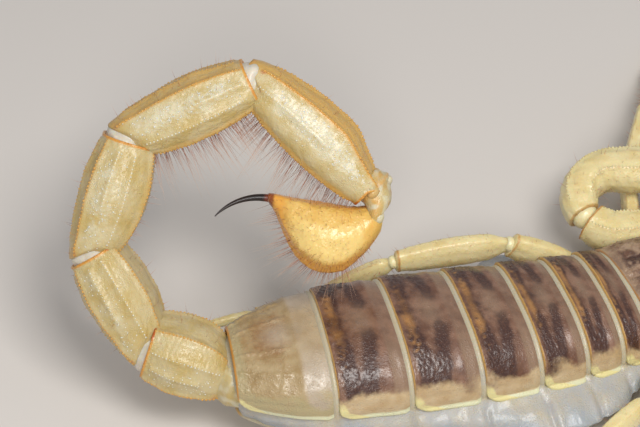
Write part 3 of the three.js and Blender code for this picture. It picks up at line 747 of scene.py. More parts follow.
def grow(source, tree, values):
    """Runs a geometry tree on an object and returns the result as a plain mesh."""
    modifier = source.modifiers.new("Repeat", "NODES")
    modifier.node_group = tree
    for item in tree.interface.items_tree:
        if item.in_out == "INPUT" and item.name in values:
            modifier[item.identifier] = values[item.name]
    evaluated = source.evaluated_get(bpy.context.evaluated_depsgraph_get())
    mesh = bpy.data.meshes.new_from_object(evaluated)
    source.modifiers.remove(modifier)
    return mesh


def granules(piece, name, density, radius, seed, material, slot):
    """Granules over a piece: density to each square millimetre, radius in millimetres."""
    values = {"Density": density * 1e6, "Radius": radius * MM, "Seed": seed, "Material": material}
    mount(placed(name, grow(piece, granule_tree(), values)), material, slot)


def along_lines(name, rows, key, tree, values):
    """Runs a tree along rows of (points in millimetres, a value named by key at each): one object."""
    points, edges, found = [], [], []
    for row, at_points in rows:
        edges += [(len(points) + k, len(points) + k + 1) for k in range(len(row) - 1)]
        points += ((row + SHIFT) * MM).tolist()
        found += at_points.tolist()
    lines = bpy.data.meshes.new(name + "_lines")
    lines.from_pydata(points, edges, [])
    set_values(lines, key, found)
    source = placed(name + "_lines", lines)
    made = placed(name, grow(source, tree, values))
    bpy.data.objects.remove(source)
    return made


def bead_rows(name, rows, spacing, material, slot):
    """Mounts beads along rows of (points, radii), all in millimetres."""
    rows = [(row, radii * MM) for row, radii in rows]
    made = along_lines(name, rows, "bead", bead_tree(), {"Spacing": spacing * MM, "Material": material})
    mount(made, material, slot)


# ---------- Tail: five ringed segments, their joints, the vesicle and the sting ----------

# Angle round the segment, height, half width, first and last share of the length, the bead's radius, and how
# golden the keel is: the weak ones are only chalky ridges.
SIDE_KEELS = [
    (-40, 0.17, 0.3, 0.06, 0.97, 0.11, 0.7), (16, 0.09, 0.28, 0.12, 0.94, 0.075, 0.0),
    (60, 0.16, 0.32, 0.05, 0.98, 0.11, 0.5),
]
KEELS = [
    SIDE_KEELS + [(-75, 0.08, 0.3, 0.2, 0.9, 0.0, 0.2), (-8, 0.1, 0.26, 0.3, 0.92, 0.07, 0.0)],
    SIDE_KEELS + [(-75, 0.1, 0.3, 0.15, 0.92, 0.08, 0.4), (-8, 0.09, 0.26, 0.35, 0.92, 0.07, 0.0)],
    SIDE_KEELS + [(-75, 0.1, 0.3, 0.12, 0.94, 0.08, 0.4), (-8, 0.1, 0.26, 0.4, 0.92, 0.07, 0.0)],
    SIDE_KEELS + [(-75, 0.1, 0.3, 0.1, 0.95, 0.08, 0.5), (-8, 0.1, 0.26, 0.5, 0.93, 0.07, 0.0)],
    [(-42, 0.18, 0.3, 0.05, 0.97, 0.13, 0.9), (-8, 0.09, 0.3, 0.08, 0.62, 0.07, 0.0),
     (60, 0.14, 0.32, 0.06, 0.94, 0.11, 0.9), (-90, 0.17, 0.3, 0.08, 0.97, 0.12, 0.8)],
]
# How pale and chalky each segment's flanks are, how tan its back and belly, and how hairy.
SEGMENT_TONES = [(0.25, 0.2, 0.3), (0.3, 0.2, 0.3), (0.45, 0.35, 0.5), (0.7, 0.7, 1.0), (0.85, 1.0, 1.3)]
FACE_HOLLOW = 0.1  # the faces between the keels sink by this much
COLLAR = 0.75  # how far each segment reaches back inside the one before it
RIM_WIDTH = 0.2
RIM_TURN = ((0.1, -0.03), (0.2, 0.0), (0.28, 0.14), (0.4, 0.5), (0.5, 1.0))  # inward and back, ring by ring
LAST_RIM_REACH = (1.15, 1.25)  # along and up
JOINT_OPENING = 0.35  # soft skin that shows at the outer side of each bend, before it widens with the bend


def tail_frames():
    """Each segment's joint, axis, side and dorsal, from the trunk outward, and where the last one ends."""
    joint = np.array(TAIL_ROOT)
    frames = []
    for segment in TAIL:
        axis = direction(segment["heading"], segment["rise"])
        side, dorsal = side_and_dorsal(axis, segment["roll"])
        frames.append((joint, axis, side, dorsal))
        joint = joint + axis * segment["length"]
    return frames, joint


def tail_rings(segment, frame, along, grow=0.0):
    """Rings of a segment at these distances from its joint, in millimetres."""
    joint, axis, side, dorsal = frame
    along = np.asarray(along, float)
    wide, deep = through(TAIL_STATIONS, along / segment["length"]).T
    above = np.interp(deep, [0, 1, 2], segment["dorsal"])
    below = np.interp(deep, [0, 1, 2], segment["ventral"])
    sizes = [size + grow for size in (segment["width"] / 2 * wide, above, below)]
    return Rings(joint + along[:, None] * axis, side, dorsal, *sizes, TAIL_POWER)


def folded(angles):
    """An angle round a section, mirrored onto one side: -90 is the belly and 90 the back."""
    return np.where(angles > 90, 180 - angles, angles)


def along_line(points, angles, degrees):
    """The points of a grid along one angle."""
    return points[:, int(np.argmin(np.abs(angles - (np.mod(degrees + 90, 360) - 90))))]


def trunk_axis():
    """The way the trunk points at its end."""
    turn = math.radians(START_TURN + TRUNK_TURN)
    return np.array([-math.cos(turn), math.sin(turn), 0.0])


def drawn_to_rim(points, along, segment, frame, before_axis):
    """Draws the outer side of a segment's start towards the rim before it, so that the bend stays closed."""
    joint, axis, _, _ = frame
    away = (points - joint) @ before_axis
    wanted = np.minimum(away, JOINT_OPENING + 0.25 * away)
    shift = np.maximum((wanted - away) / (axis @ before_axis), -segment["drawn"])
    return points + axis * (shift * step(3.4, 0.2, along)[:, None])[..., None]


def build_segment(index, frame, before_axis, options, shell, bead, chalky):
    """One segment's shell, with its keels and its turned-in rim, and the rows of beads on its keels."""
    segment = TAIL[index]
    _, axis, _, dorsal = frame
    length = segment["length"]
    wall = np.linspace(0, length - 0.6, 76)
    along = np.concatenate([[-COLLAR, -0.5, -0.25], wall, length - 0.6 + 0.1 * np.arange(1, 7)])
    rings = tail_rings(segment, frame, along).scaled(1 - 0.2 * np.clip(-along / COLLAR, 0, 1)[:, None])
    angles, points = rings.even(161)
    points = drawn_to_rim(points, along, segment, frame, before_axis)
    if index == 4:
        # The last rim is oblique: its ventral side curls out over the neck.
        below = np.clip((rings.centre[:, None] - points) @ dorsal / segment["ventral"][2], 0, 1.2)
        reach = below**1.3 * step(0.62, 1.0, along / length)[:, None]
        points = points + (LAST_RIM_REACH[0] * axis + LAST_RIM_REACH[1] * dorsal) * reach[..., None]
    normals = outward(points)
    along = along[:, None]
    share = along / length
    side = folded(angles)[None]

    rows, ridge, near_keel, golden, glow = [], *np.zeros((4, *points.shape[:2]))
    for degrees, height, width, first, last, radius, gold in KEELS[index]:
        run = step(first - 0.05, first + 0.04, share) * step(last + 0.03, last - 0.02, share)
        for angle in both_sides(degrees):
            apart = keel_distance(points, angles, angle)
            waves = 1 + 0.15 * np.sin(2 * math.pi * along / options.bead_spacing)
            ridge = np.maximum(ridge, run * waves * height * bell(apart, 0, width))
            near_keel = np.maximum(near_keel, run * bell(apart, 0, 0.45))
            golden = np.maximum(golden, gold * run * bell(apart, 0, 0.17))
            glow = np.maximum(glow, gold * run * bell(apart, 0, 0.65))
            if radius:
                rows.append((angle, radius, gold, (share[:, 0] > first) & (share[:, 0] < last)))
    hollow = FACE_HOLLOW * (1 - near_keel) * step(0.05, 0.3, share) * step(1.0, 0.85, share)
    rim = step(RIM_WIDTH + 0.1, RIM_WIDTH - 0.1, length - along)
    band = 0.02 * rim - 0.03 * bell(length - along, RIM_WIDTH + 0.2, 0.16)
    grain = ripples(points, 0.5, 40 + index) * 0.02 + ripples(points, 2.4, 50 + index) * 0.03
    height = options.keel_height * ridge - hollow + band + grain * step(0, 0.1, share)
    lifted = points + normals * height[..., None]

    # The rim turns in and runs back inside, where the next segment's joint skin starts.
    last_ring = lifted[-1:]
    inward = unit(last_ring.mean(1, keepdims=True) - last_ring)
    lifted = np.concatenate([lifted, *[last_ring + inward * inset - axis * back for inset, back in RIM_TURN]])

    def stretched(mask):
        mask = np.broadcast_to(mask, points.shape[:2])
        return np.concatenate([mask, np.repeat(mask[-1:], len(RIM_TURN), 0)])

    chalk, tone, hairy = SEGMENT_TONES[index]
    middle = bell(side, -13, 17) * step(0.02, 0.25, share) * step(0.98, 0.8, share)
    flank = chalk * middle * (0.85 + 0.3 * ripples(points, 0.5, 64)) + 0.1
    flank = flank + 0.12 * ripples(points, 2.0, 60 + index)
    ends = (step(-36, -46, side) + step(34, 62, side)) * 0.7 * tone
    long_hairs = step(46, 66, side) * (1 if index > 2 else 0.2)
    cover = 0.18 + hairy * 3.6 * long_hairs + 0.28 * hairy * step(-30, -60, side)
    spot = bell(side, -38, 9) * bell(along, COLLAR, 0.4)
    surface = Surface()
    surface.grid(
        lifted,
        pale=np.clip(stretched(flank), 0, 1),
        tan=stretched(ends + 0.4 * step(1.4, 0.3, along) + 0.5 * glow),
        edge=np.clip(stretched(np.maximum(0.8 * golden, rim) + 0.5 * step(-0.1, -0.4, along)), 0, 1),
        dark=stretched(rim * (0.35 + 0.65 * step(30, 60, side)) + 0.5 * spot),
        granule=stretched(middle * (0.5 + 0.5 * chalk) * (1 - near_keel)),
        **hairs(
            stretched(cover * step(0.02, 0.12, share) * step(1.0, 0.93, share)),
            stretched(1.4 + (4.4 if index > 2 else 1.0) * long_hairs),
            stretched(0.016 + 0.003 * long_hairs), axis * 0.12,
        ),
    )
    piece = surface.build(f"tail_segment_{index + 1}")
    mount(piece, shell, "tail_straw", f"metasoma_{index + 1}")
    granules(piece, f"tail_granules_{index + 1}", options.granules, 0.075, 21 + index, chalky, "tail_straw")

    for name, kind, material in (("keels", True, bead), ("ridges", False, chalky)):
        beads = []
        for angle, radius, gold, kept in rows:
            if (gold > 0) == kind:
                sunk = lifted[:len(share)] - normals * radius * 0.3
                line = along_line(sunk, angles, angle)[kept]
                beads.append((line, np.full(len(line), radius * options.bead_size)))
        bead_rows(f"tail_{name}_{index + 1}", beads, options.bead_spacing, material, "tail_straw")


def joint_skin(name, before, frame, segment, before_axis, material):
    """The soft skin between two shells: from inside the rim of one to under the collar of the next."""
    degrees = np.linspace(-90, 270, 97)[:-1]
    start = before.points(degrees)[0]
    after = tail_rings(segment, frame, [0.7], -0.14)
    turn = math.degrees(math.atan2(before.side[0] @ after.dorsal[0], before.side[0] @ after.side[0]))
    end = drawn_to_rim(after.points(degrees + turn), np.array([0.7]), segment, frame, before_axis)[0]
    middle = (start.mean(0) + end.mean(0)) / 2
    share = np.linspace(0, 1, 17)[:, None, None]
    swell = unit((start + end) / 2 - middle)
    open_side = step(1.8, 3.0, np.linalg.norm(end - start, axis=-1))[None, :, None]
    fold = np.sin(math.pi * share) * (0.12 + 0.3 * open_side) + 0.05 * np.sin(4 * math.pi * share)
    points = start * (1 - share) + end * share + swell * fold
    surface = Surface()
    surface.grid(points, pale=0.4 + 0.3 * ripples(points, 1.0, 5), tan=step(0.3, 0.0, share[..., 0]) * 0.6)
    mount(surface.build(name), material, "tail_straw")


def build_telson(options):
    """The vesicle with its neck and condyles, and the sting."""
    frames, rim = tail_frames()
    axis = direction(VESICLE["heading"], VESICLE["rise"])
    side, dorsal = side_and_dorsal(axis, VESICLE["roll"])
    base = rim + direction(NECK["heading"], NECK["rise"]) * NECK["length"]
    length = VESICLE["length"]

    share = np.concatenate([np.linspace(-0.02, 0.1, 14)[:-1], np.linspace(0.1, 1.0, 96)])
    belly, back = through(VESICLE_STATIONS, share).T
    depth = belly + back
    centre = base + (share * length)[:, None] * axis + (back - depth / 2)[:, None] * dorsal
    half = VESICLE["width"] / 2 * (depth / 6.3) ** 0.8
    rings = Rings(centre, side, dorsal, half, depth / 2, depth / 2, 2.1)
    angles, points = rings.even(161)
    turned_in = folded(angles)[None]
    run = share[:, None]
    pits = ripples(points, 0.8, 71) * 0.02 + ripples(points, 2.6, 72) * 0.035
    ridge = 0.12 * bell(keel_distance(points, angles, -90), 0, 0.5)
    ridge = ridge * step(0.1, 0.3, run) * step(0.95, 0.75, run)
    flutes = 0.05 * np.cos(np.radians(turned_in) * 8) * step(0.05, 0.3, run) * step(0.95, 0.7, run)
    height = pits * step(0, 0.15, run) * step(1, 0.9, run) + ridge + flutes
    under = step(-25, -70, turned_in)
    surface = Surface()
    surface.grid(
        raised(points, height),
        # Painted highlight: pale lightens the flank that faces the camera.
        pale=0.8 * step(60, 10, np.abs(turned_in + 15)) * step(0.02, 0.2, run) * step(0.9, 0.6, run),
        # Tan is partly painted shade: back and belly, where the outline falls, are darkened to orange; the
        # orange towards the tip is the vesicle's own colour.
        tan=0.7 * step(35, 75, turned_in) + 0.9 * step(-15, -90, turned_in) + step(0.68, 0.98, run),
        edge=step(0.9, 0.99, run),
        **hairs(
            (4.2 + 0.6 * under) * step(0.03, 0.1, run) * step(0.99, 0.9, run),
            1.0 + 2.8 * under * step(0.08, 0.25, run), 0.018, axis * 0.2,
        ),
    )
    material = shell_material("Telson amber", options)
    mount(surface.build("telson_shell"), material, "telson_amber", "telson_vesicle")

    # The neck, between the last rim and the vesicle, with a knuckle on each side.
    _, v_axis, v_side, v_dorsal = frames[4]
    share = np.linspace(0, 1, 40)
    way = [
        [0, *(rim - v_axis * 0.9)], [0.35, *(rim + v_axis * 0.5 - v_dorsal * 0.2)],
        [0.7, *(base + axis * 0.35 - dorsal * 0.5)], [1, *(base + axis * 1.6 - dorsal * 0.9)],
    ]
    sizes = [[0, 2.4, 1.5, 2.0], [0.35, 2.3, 1.35, 2.1], [0.7, 2.1, 1.3, 1.9], [1, 1.7, 1.1, 1.5]]
    neck = Rings(through(way, share), v_side, v_dorsal, *through(sizes, share).T, 2.2)
    points = neck.ring(96)
    wrinkle = 0.05 * np.sin(share * 26)[:, None] + 0.03 * ripples(points, 1.4, 75)
    surface = Surface()
    surface.grid(
        raised(points, wrinkle),
        pale=0.4 + 0.5 * ripples(points, 1.2, 76), tan=0.5 - 0.3 * ripples(points, 1.5, 77),
        edge=0.5 * bell(share, 0.3, 0.08)[:, None],
    )
    straw = bpy.data.materials["Tail straw"]
    mount(surface.build("telson_neck"), straw, "tail_straw")
    knuckles = Surface()
    for hand in (1, -1):
        place = rim + v_axis * 0.35 + v_side * hand * 2.0 - v_dorsal * 0.4
        ball(knuckles, place, 0.7, 0.55, v_axis, pale=0.3, tan=0.5, edge=0.35)
        ball(knuckles, base + axis * 0.3 + side * hand * 1.5 - dorsal * 0.4, 0.7, 0.6, axis, pale=0.9, tan=0.1)
    ball(knuckles, rim + v_axis * 0.7 - v_dorsal * 1.7, 0.75, 0.5, v_axis, pale=0.8, tan=0.2)
    mount(knuckles.build("telson_knuckles"), straw, "tail_straw")
    build_sting(options, base, axis, side, dorsal)


def ball(surface, middle, radius, height, axis, **values):
    """A flattened ball: half as high as height says, along its axis."""
    side, dorsal = side_and_dorsal(axis, 0)
    turn = np.linspace(-80, 80, 15)
    size = radius * np.cos(np.radians(turn))
    centre = middle + np.sin(np.radians(turn))[:, None] * height * axis
    rings = Rings(centre, side, dorsal, size, size, size, 2.0)
    surface.grid(rings.ring(28), **values)


def build_sting(options, base, axis, side, dorsal):
    """The sting: a curved needle that grows out of the vesicle's tip."""
    count = 60
    tip = base + axis * (VESICLE["length"] - 0.55) - dorsal * 0.2
    centres, ups, radii = [], [], []
    for share in np.arange(count) / (count - 1):
        angle = math.radians(ACULEUS["start"] + (ACULEUS["end"] - ACULEUS["start"]) * share)
        way = axis * math.cos(angle) - dorsal * math.sin(angle)
        centres.append(tip)
        ups.append(np.cross(way, side))
        radii.append(ACULEUS["root"] * (1 - share) ** 0.75 + ACULEUS["tip"])
        tip = tip + way * (ACULEUS["length"] + 0.85) / (count - 1)
    rings = Rings(centres, side, np.array(ups), radii, radii, np.array(radii) * 1.05, 2.0)
    share = np.linspace(0, 1, count)[:, None]
    surface = Surface()
    surface.grid(rings.ring(40), edge=step(0.22, 0.06, share), tan=step(0.1, 0.0, share))
    mount(surface.build("sting_needle"), shell_material("Sting", options), "sting_black", "aculeus")


def build_tail(options):
    names = ("Tail straw", "Keel beads", "Chalky granules", "Joint skin")
    straw, bead, chalky, soft = [shell_material(name, options) for name in names]
    frames, _ = tail_frames()
    before_axis = trunk_axis()
    for index, frame in enumerate(frames):
        build_segment(index, frame, before_axis, options, straw, bead, chalky)
        inside, material = trunk(TRUNK_LENGTH - 0.9, -0.9), straw
        if index:
            before = TAIL[index - 1]
            inside, material = tail_rings(before, frames[index - 1], [before["length"] - 0.9], -0.5), soft
        joint_skin(f"tail_joint_{index}", inside, frame, TAIL[index], before_axis, material)
        before_axis = frame[1]


# ---------- Trunk: soft skin, seven back plates and five belly plates ----------

# The soft skin lies this far inside the plates' line, and swells between them.
SKIN_DEPTH = 0.22
STRIPE_WIDTH = 0.36  # soft skin that shows between two back plates
BOUNDARIES = np.concatenate([[0], np.cumsum(SOMITE_LENGTHS)])
PIGMENT_EDGE = 0.74  # share of a plate's half width that is dark


def trunk(behind, grow=0.0):
    """Rings of the trunk this far behind the carapace."""
    behind = np.atleast_1d(np.asarray(behind, float))
    first = math.radians(START_TURN)
    bend = math.radians(TRUNK_TURN) / TRUNK_LENGTH
    turn = first + bend * behind
    height, half, above, below, swell = through(TRUNK_SECTIONS, behind).T
    x = (math.sin(first) - np.sin(turn)) / bend
    y = (math.cos(first) - np.cos(turn)) / bend
    axis = np.stack([-np.cos(turn), np.sin(turn), 0 * turn], 1)
    side = unit(np.cross(UP, axis))
    sizes = [size + grow for size in (half, above, below)]
    return Rings(np.stack([x, y, height], 1), side, np.cross(axis, side), *sizes, TRUNK_POWER, swell)


def build_skin(options):
    """One soft skin for the whole trunk: it shows at the flanks and between the plates."""
    behind = np.linspace(-0.5, TRUNK_LENGTH + 0.3, 330)
    tuck = 1 - 0.3 * step(TRUNK_LENGTH - 1.1, TRUNK_LENGTH + 0.4, behind)[:, None]
    rings = trunk(behind, -SKIN_DEPTH).scaled(tuck)
    rings.centre = rings.centre - np.minimum(behind, 0)[:, None] * FORWARD
    angles, points = rings.even(181)
    apart = np.min(np.abs(behind[:, None] - BOUNDARIES[None]), 1)[:, None]
    side = folded(angles)[None]
    flank = step(4, -12, side) * step(-85, -60, side)
    # Between the plates the skin swells to their level; on the flanks a crease runs down from each gap.
    swell = (SKIN_DEPTH + 0.04) * bell(apart, 0, 0.3) * step(-14, 4, side)
    crease = -0.26 * bell(apart, 0, 0.35) * flank
    upright = 0.06 * np.sin(behind[:, None] * 3.1 + 0.6 * np.sin(side * 0.09)) * flank
    upright = upright * (0.6 + 0.4 * ripples(points, 6.0, 81))
    lengthwise = 0.06 * np.sin(np.radians(side) * 17 + 0.5 * ripples(points, 5.0, 82)) * flank
    fine = 0.02 * ripples(points, 0.9, 83) * flank
    bulge = 0.08 * flank * (1 - bell(apart, 0, 1.4))
    height = swell + crease + upright + lengthwise + fine + bulge
    points = raised(points, height)
    surface = Surface()
    surface.grid(
        points,
        pale=step(-6, 2, side) + step(-60, -78, side) * 0.7 + 0.25 * ripples(points, 4.0, 84),
        tan=bell(apart, 0, 0.4) * flank * 0.45,
        edge=bell(side, -34, 26) * 0.62 + 0.14 * ripples(points, 5.0, 85) * flank,
        **hairs(0.12 * flank, 0.5, 0.011, (-0.4, 0.05, 0.0)),
    )
    nodes = [f"mesosoma_{k + 1}" for k in range(7)]
    mount(surface.build("trunk_skin"), shell_material("Soft skin", options), "back_brown", *nodes)


def corner(distance, reach, cut):
    """How far a plate's side edge is drawn in at this distance from an end with round corners."""
    return cut * (1 - np.sqrt(1 - np.clip(1 - distance / reach, 0, 1) ** 2 * 0.98))


def edge_drop(from_edge, within, depth):
    """How far a plate's top has turned down at this distance from its side edge."""
    return depth * (1 - rounded(np.clip(from_edge / within, 0, 1), 1.0, 0))


def plate_top(rings, dense, trim, columns):
    """The top of a plate: its points, normals, place across (-1 to 1) and distance from the edge.

    trim is how far each row's side edges are drawn in, and columns are shares of what is left.
    """
    walked = lengths_round(rings.points(dense))
    span, trim = walked[:, -1:], trim[:, None]
    place = trim + columns[None] * (span - 2 * trim)
    angles = np.array([np.interp(row, walk, dense) for row, walk in zip(place, walked)])
    top = rings.points(angles)
    return top, outward(top, closed=False), place / span * 2 - 1, np.minimum(place - trim, span - trim - place)


def arc_plate(behind, edges, lift, trim, thickness, columns):
    """The top of a plate round the trunk, and its height: rows at these distances, between two angles."""
    share = np.linspace(0, 1, columns)
    # Columns crowd towards both edges, where the plate turns down.
    share = 0.65 * share + 0.35 * (0.5 - 0.5 * np.cos(math.pi * share))
    top, normals, across, from_edge = plate_top(trunk(behind), np.linspace(*edges, 241), trim, share)
    return top, normals, across, from_edge, lift[:, None] - edge_drop(from_edge, 0.25, thickness)


def add_plate(surface, top, normals, height, thickness, **values):
    """Closes a plate: its top skin lifted by height, and a plain skin under it."""
    upper = top + normals * height[..., None]
    lower = top + normals * (np.minimum(height, height.mean()) - thickness)[..., None]
    for key, value in values.items():
        if np.ndim(value) < 3:
            value = np.broadcast_to(value, top.shape[:2])
            values[key] = np.concatenate([value, value[:, ::-1]], 1)
    surface.grid(np.concatenate([upper, lower[:, ::-1]], 1), plate=True, **values)


def build_tergite(index, options, material):
    """One back plate. Its rear edge stands over the soft skin; its hind corners are rounded."""
    final = index == 6
    start = BOUNDARIES[index] + STRIPE_WIDTH * 0.45
    length = BOUNDARIES[index + 1] - (0.25 if final else STRIPE_WIDTH * 0.5) - start
    share = np.linspace(0, 1, 34 + int(length * 5))
    share = 0.75 * share + 0.25 * (0.5 - 0.5 * np.cos(math.pi * share))
    trim = corner((1 - share) * length, 1.5, 1.3) + corner(share * length, 0.9, 0.45)
    lift = np.interp(share, [0, 0.08, 0.25, 0.9, 0.97, 1.0], [-0.16, 0.0, 0.06, 0.2, 0.2, 0.02])
    thickness = options.plate_thickness
    behind = start + share * length
    top, normals, across, from_edge, height = arc_plate(behind, (-3, 183), lift, trim, thickness, 131)
    t = share[:, None]
    q = np.abs(across)
    rear = (1 - t) * length  # distance from the rear edge
    seed = 100 + index * 10
    rough = ripples(top, 0.6, seed)
    broad = ripples(top, 3.0, seed + 1)

    # A ridge runs across behind the smooth front strip; granules crowd towards the rear.
    ridge_at = 0.3 if final else 0.24
    ridge = bell(t, ridge_at, 0.45 / length)
    granular = step(ridge_at, 0.6, t) * step(0.995, 0.95, t) * step(0.85, 0.7, q)
    height = height + 0.09 * ridge * step(0.92, 0.8, q)
    height = height + granular * (0.045 * np.clip(rough, 0, 2) + 0.02 * ripples(top, 0.35, seed + 2))
    height = height + 0.05 * broad * step(0.0, 0.15, t) - 0.07 * bell(q, 0.83, 0.035) * step(0.05, 0.3, t)
    rim_line = bell(rear, 0.0, 0.22 if final else 0.13) * (1.0 if final else 0.8 * step(0.9, 0.6, q))
    height = height + 0.05 * bell(rear, 0.1, 0.14)

    back_share = 1 - t
    dark_band = bell(back_share, 0.17 + 0.07 * q, 0.13) * (1 - 0.45 * step(0.34, 0.08, q))
    slant = bell(back_share, 0.64 - 0.26 * q, 0.13) * step(0.02, 0.22, q)
    pigment = step(PIGMENT_EDGE + 0.14, PIGMENT_EDGE - 0.12, q + 0.05 * broad)
    middle = bell(q, 0.0, 0.04) * step(0.1, 0.3, t)
    reach = step(PIGMENT_EDGE - 0.02, 0.93, q)
    width = 0.95 * np.sqrt(reach) * step(3.4, 0.8, rear) + 0.05
    crescent = step(1.2, 0.6, np.minimum(rear, from_edge) / width) * reach
    streak = bell(rear, 0.14 * length, 0.12 * length) * step(0.6, 0.2, q + 0.1 * rough)
    band = dark_band * 1.15 + slant + 0.3 * middle
    ochre = 0.64 * streak * (0.9 + 0.2 * broad) + 0.1 * ridge
    if final:
        keel = np.maximum(bell(q, 0.2, 0.02), bell(q, 0.52 - 0.06 * t, 0.02))
        keel = keel * step(0.3, 0.45, t) * step(0.99, 0.92, t)
        arc = bell(t, 0.42 + 0.25 * q**2, 0.025) * step(0.8, 0.6, q)
        height = height + keel * (0.13 + 0.05 * rough) + 0.08 * arc
        pigment = pigment * step(1.0, 0.75, t)
        band = 0.65 * step(0.55, 0.1, q) * bell(t, 0.62, 0.28) + 0.15 * slant
        ochre = 0.25 * arc + 0.3 * streak
    strip = step(ridge_at + 0.02, ridge_at - 0.05, t) * (0.4 + 0.6 * step(0.15, 0.5, q))
    surface = Surface()
    add_plate(
        surface, top, normals, height, thickness,
        pigment=pigment, band=band, ochre=ochre, crescent=crescent, line=rim_line * 1.3,
        front=strip + 0.75 * bell(q, 0.02, 0.15) * bell(back_share, 0.52, 0.17),
        roll=step(0.85, 0.25, from_edge) * step(0.7, 0.85, q),
        granule=step(0.35, 0.85, t) * step(0.99, 0.95, t) * step(0.85, 0.7, q) * (0.3 if final else 1),
        **hairs(0.05 + 0.15 * step(0.7, 0.9, q), 0.55, 0.011, (-0.8, 0.1, 0.0)),
    )
    piece = surface.build(f"tergite_{index + 1}")
    mount(piece, material, "back_brown", f"mesosoma_{index + 1}")
    granules(piece, f"back_granules_{index + 1}", options.granules, 0.07, 31 + index, material, "back_brown")


def back_colours(options, **other):
    """The colours of a back plate by where they go; other names the settings of those that differ."""
    places = ("dark", "brown", "light", "front", "ochre", "side", "side_pale", "roll", "crescent", "line")
    return {place: getattr(options, other.get(place, place)) for place in places}


def back_material(name, colours, rough):
    """A back plate: translucent tan sides, a pigmented middle with dark bands, a pale hind border, and a
    painted glint on its granules.
    """
    material, graph, shader = new_material(name)
    mottle = graph.rise(graph.noise(1.3, 4.0), 0.3, 0.7)
    speck = graph.rise(graph.noise(0.28, 2.0), 0.45, 0.75)
    side = graph.mix(graph.times(mottle, 0.6), colours["side"], colours["side_pale"])
    middle = graph.mix(mottle, colours["brown"], colours["light"])
    dark = graph.mix(graph.times(speck, 0.55), colours["dark"], colours["brown"])
    middle = graph.mix(graph.broken("band", 0.8, 0.75), middle, dark)
    middle = graph.mix(graph.times(graph.named("front"), 0.7), middle, colours["front"])
    middle = graph.mix(graph.broken("ochre", 0.7, 0.35), middle, colours["ochre"])
    colour = graph.mix(graph.broken("pigment", 0.45, 0.5), side, middle)
    for mask, size, amount in (("roll", 0.6, 0.3), ("crescent", 0.5, 0.35), ("line", 0.3, 0.5)):
        colour = graph.mix(graph.broken(mask, size, amount), colour, colours[mask])
    granules = graph.grain(0.2, 0.7)
    # Painted highlight: the top of each granule is lightened towards the light colour, a painted glint.
    colour = graph.mix(graph.times(granules["Fleck"], 0.22), colour, colours["light"])
    roughness = graph.between(graph.noise(0.6, 3.0), rough - 0.08, rough + 0.14)
    dress(graph, shader, colour, roughness, granules["Height"], 0.035, 0.12, 0.25)
    return material


def build_sternite(index, material):
    """One belly plate, smooth, with a slit of a breathing hole near each side on all but the last."""
    start = BOUNDARIES[index] + 0.25
    length = BOUNDARIES[index + 1] - 0.3 - start
    share = np.linspace(0, 1, 36)
    trim = corner((1 - share) * length, 2.0, 1.4)
    lift = np.interp(share, [0, 0.1, 0.9, 0.97, 1.0], [-0.05, 0.16, 0.24, 0.22, 0.0])
    edges = (-128, -52) if index < 6 else (-140, -40)
    top, normals, across, _, height = arc_plate(start + share * length, edges, lift, trim, 0.3, 101)
    t, q = share[:, None], np.abs(across)
    slit = bell(t, 0.45 + 0.3 * (q - 0.6), 0.05) * bell(q, 0.62, 0.13) * (index < 6)
    height = height - 0.18 * slit + 0.02 * ripples(top, 2.0, 160 + index)
    if index == 6:
        height = height + 0.08 * (bell(q, 0.25, 0.025) + bell(q, 0.6, 0.025)) * step(0.2, 0.4, t)
    surface = Surface()
    add_plate(
        surface, top, normals, height, 0.25,
        tan=bell((1 - t) * length, 0.0, 0.5),
        pale=step(0.7, 1.0, q),
        dark=slit * 1.2,
        **hairs(0.15, 0.7, 0.012, (-0.8, 0.1, 0.0)),
    )
    mount(surface.build(f"sternite_{index + 1}"), material, "back_brown")


def build_trunk(options):
    build_skin(options)
    plate = back_material("Back plates", back_colours(options, light="grey_brown", roll="flange"), 0.36)
    olive = back_material("Last back plate", back_colours(
        options, dark="olive_dark", brown="olive", light="olive_light", front="grey_strip", side="olive_side",
        side_pale="olive_light", roll="flange", line="keel_line",
    ), 0.34)
    for index in range(7):
        build_tergite(index, options, olive if index == 6 else plate)
    for index in range(2, 7):
        build_sternite(index, shell_material("Belly plates", options))


# ---------- Prosoma: carapace, eyes, coxae and chelicerae ----------


def prosoma(places, grow=0.0):
    """Rings of the head part at these places along X."""
    half, top, bottom = through(CARAPACE_SECTIONS, places).T
    centre = places[:, None] * FORWARD + CARAPACE_MID_HEIGHT * UP
    above, below = top - CARAPACE_MID_HEIGHT, CARAPACE_MID_HEIGHT - bottom
    return Rings(centre, *side_and_dorsal(FORWARD), half + grow, above + grow, below + grow, CARAPACE_POWER)


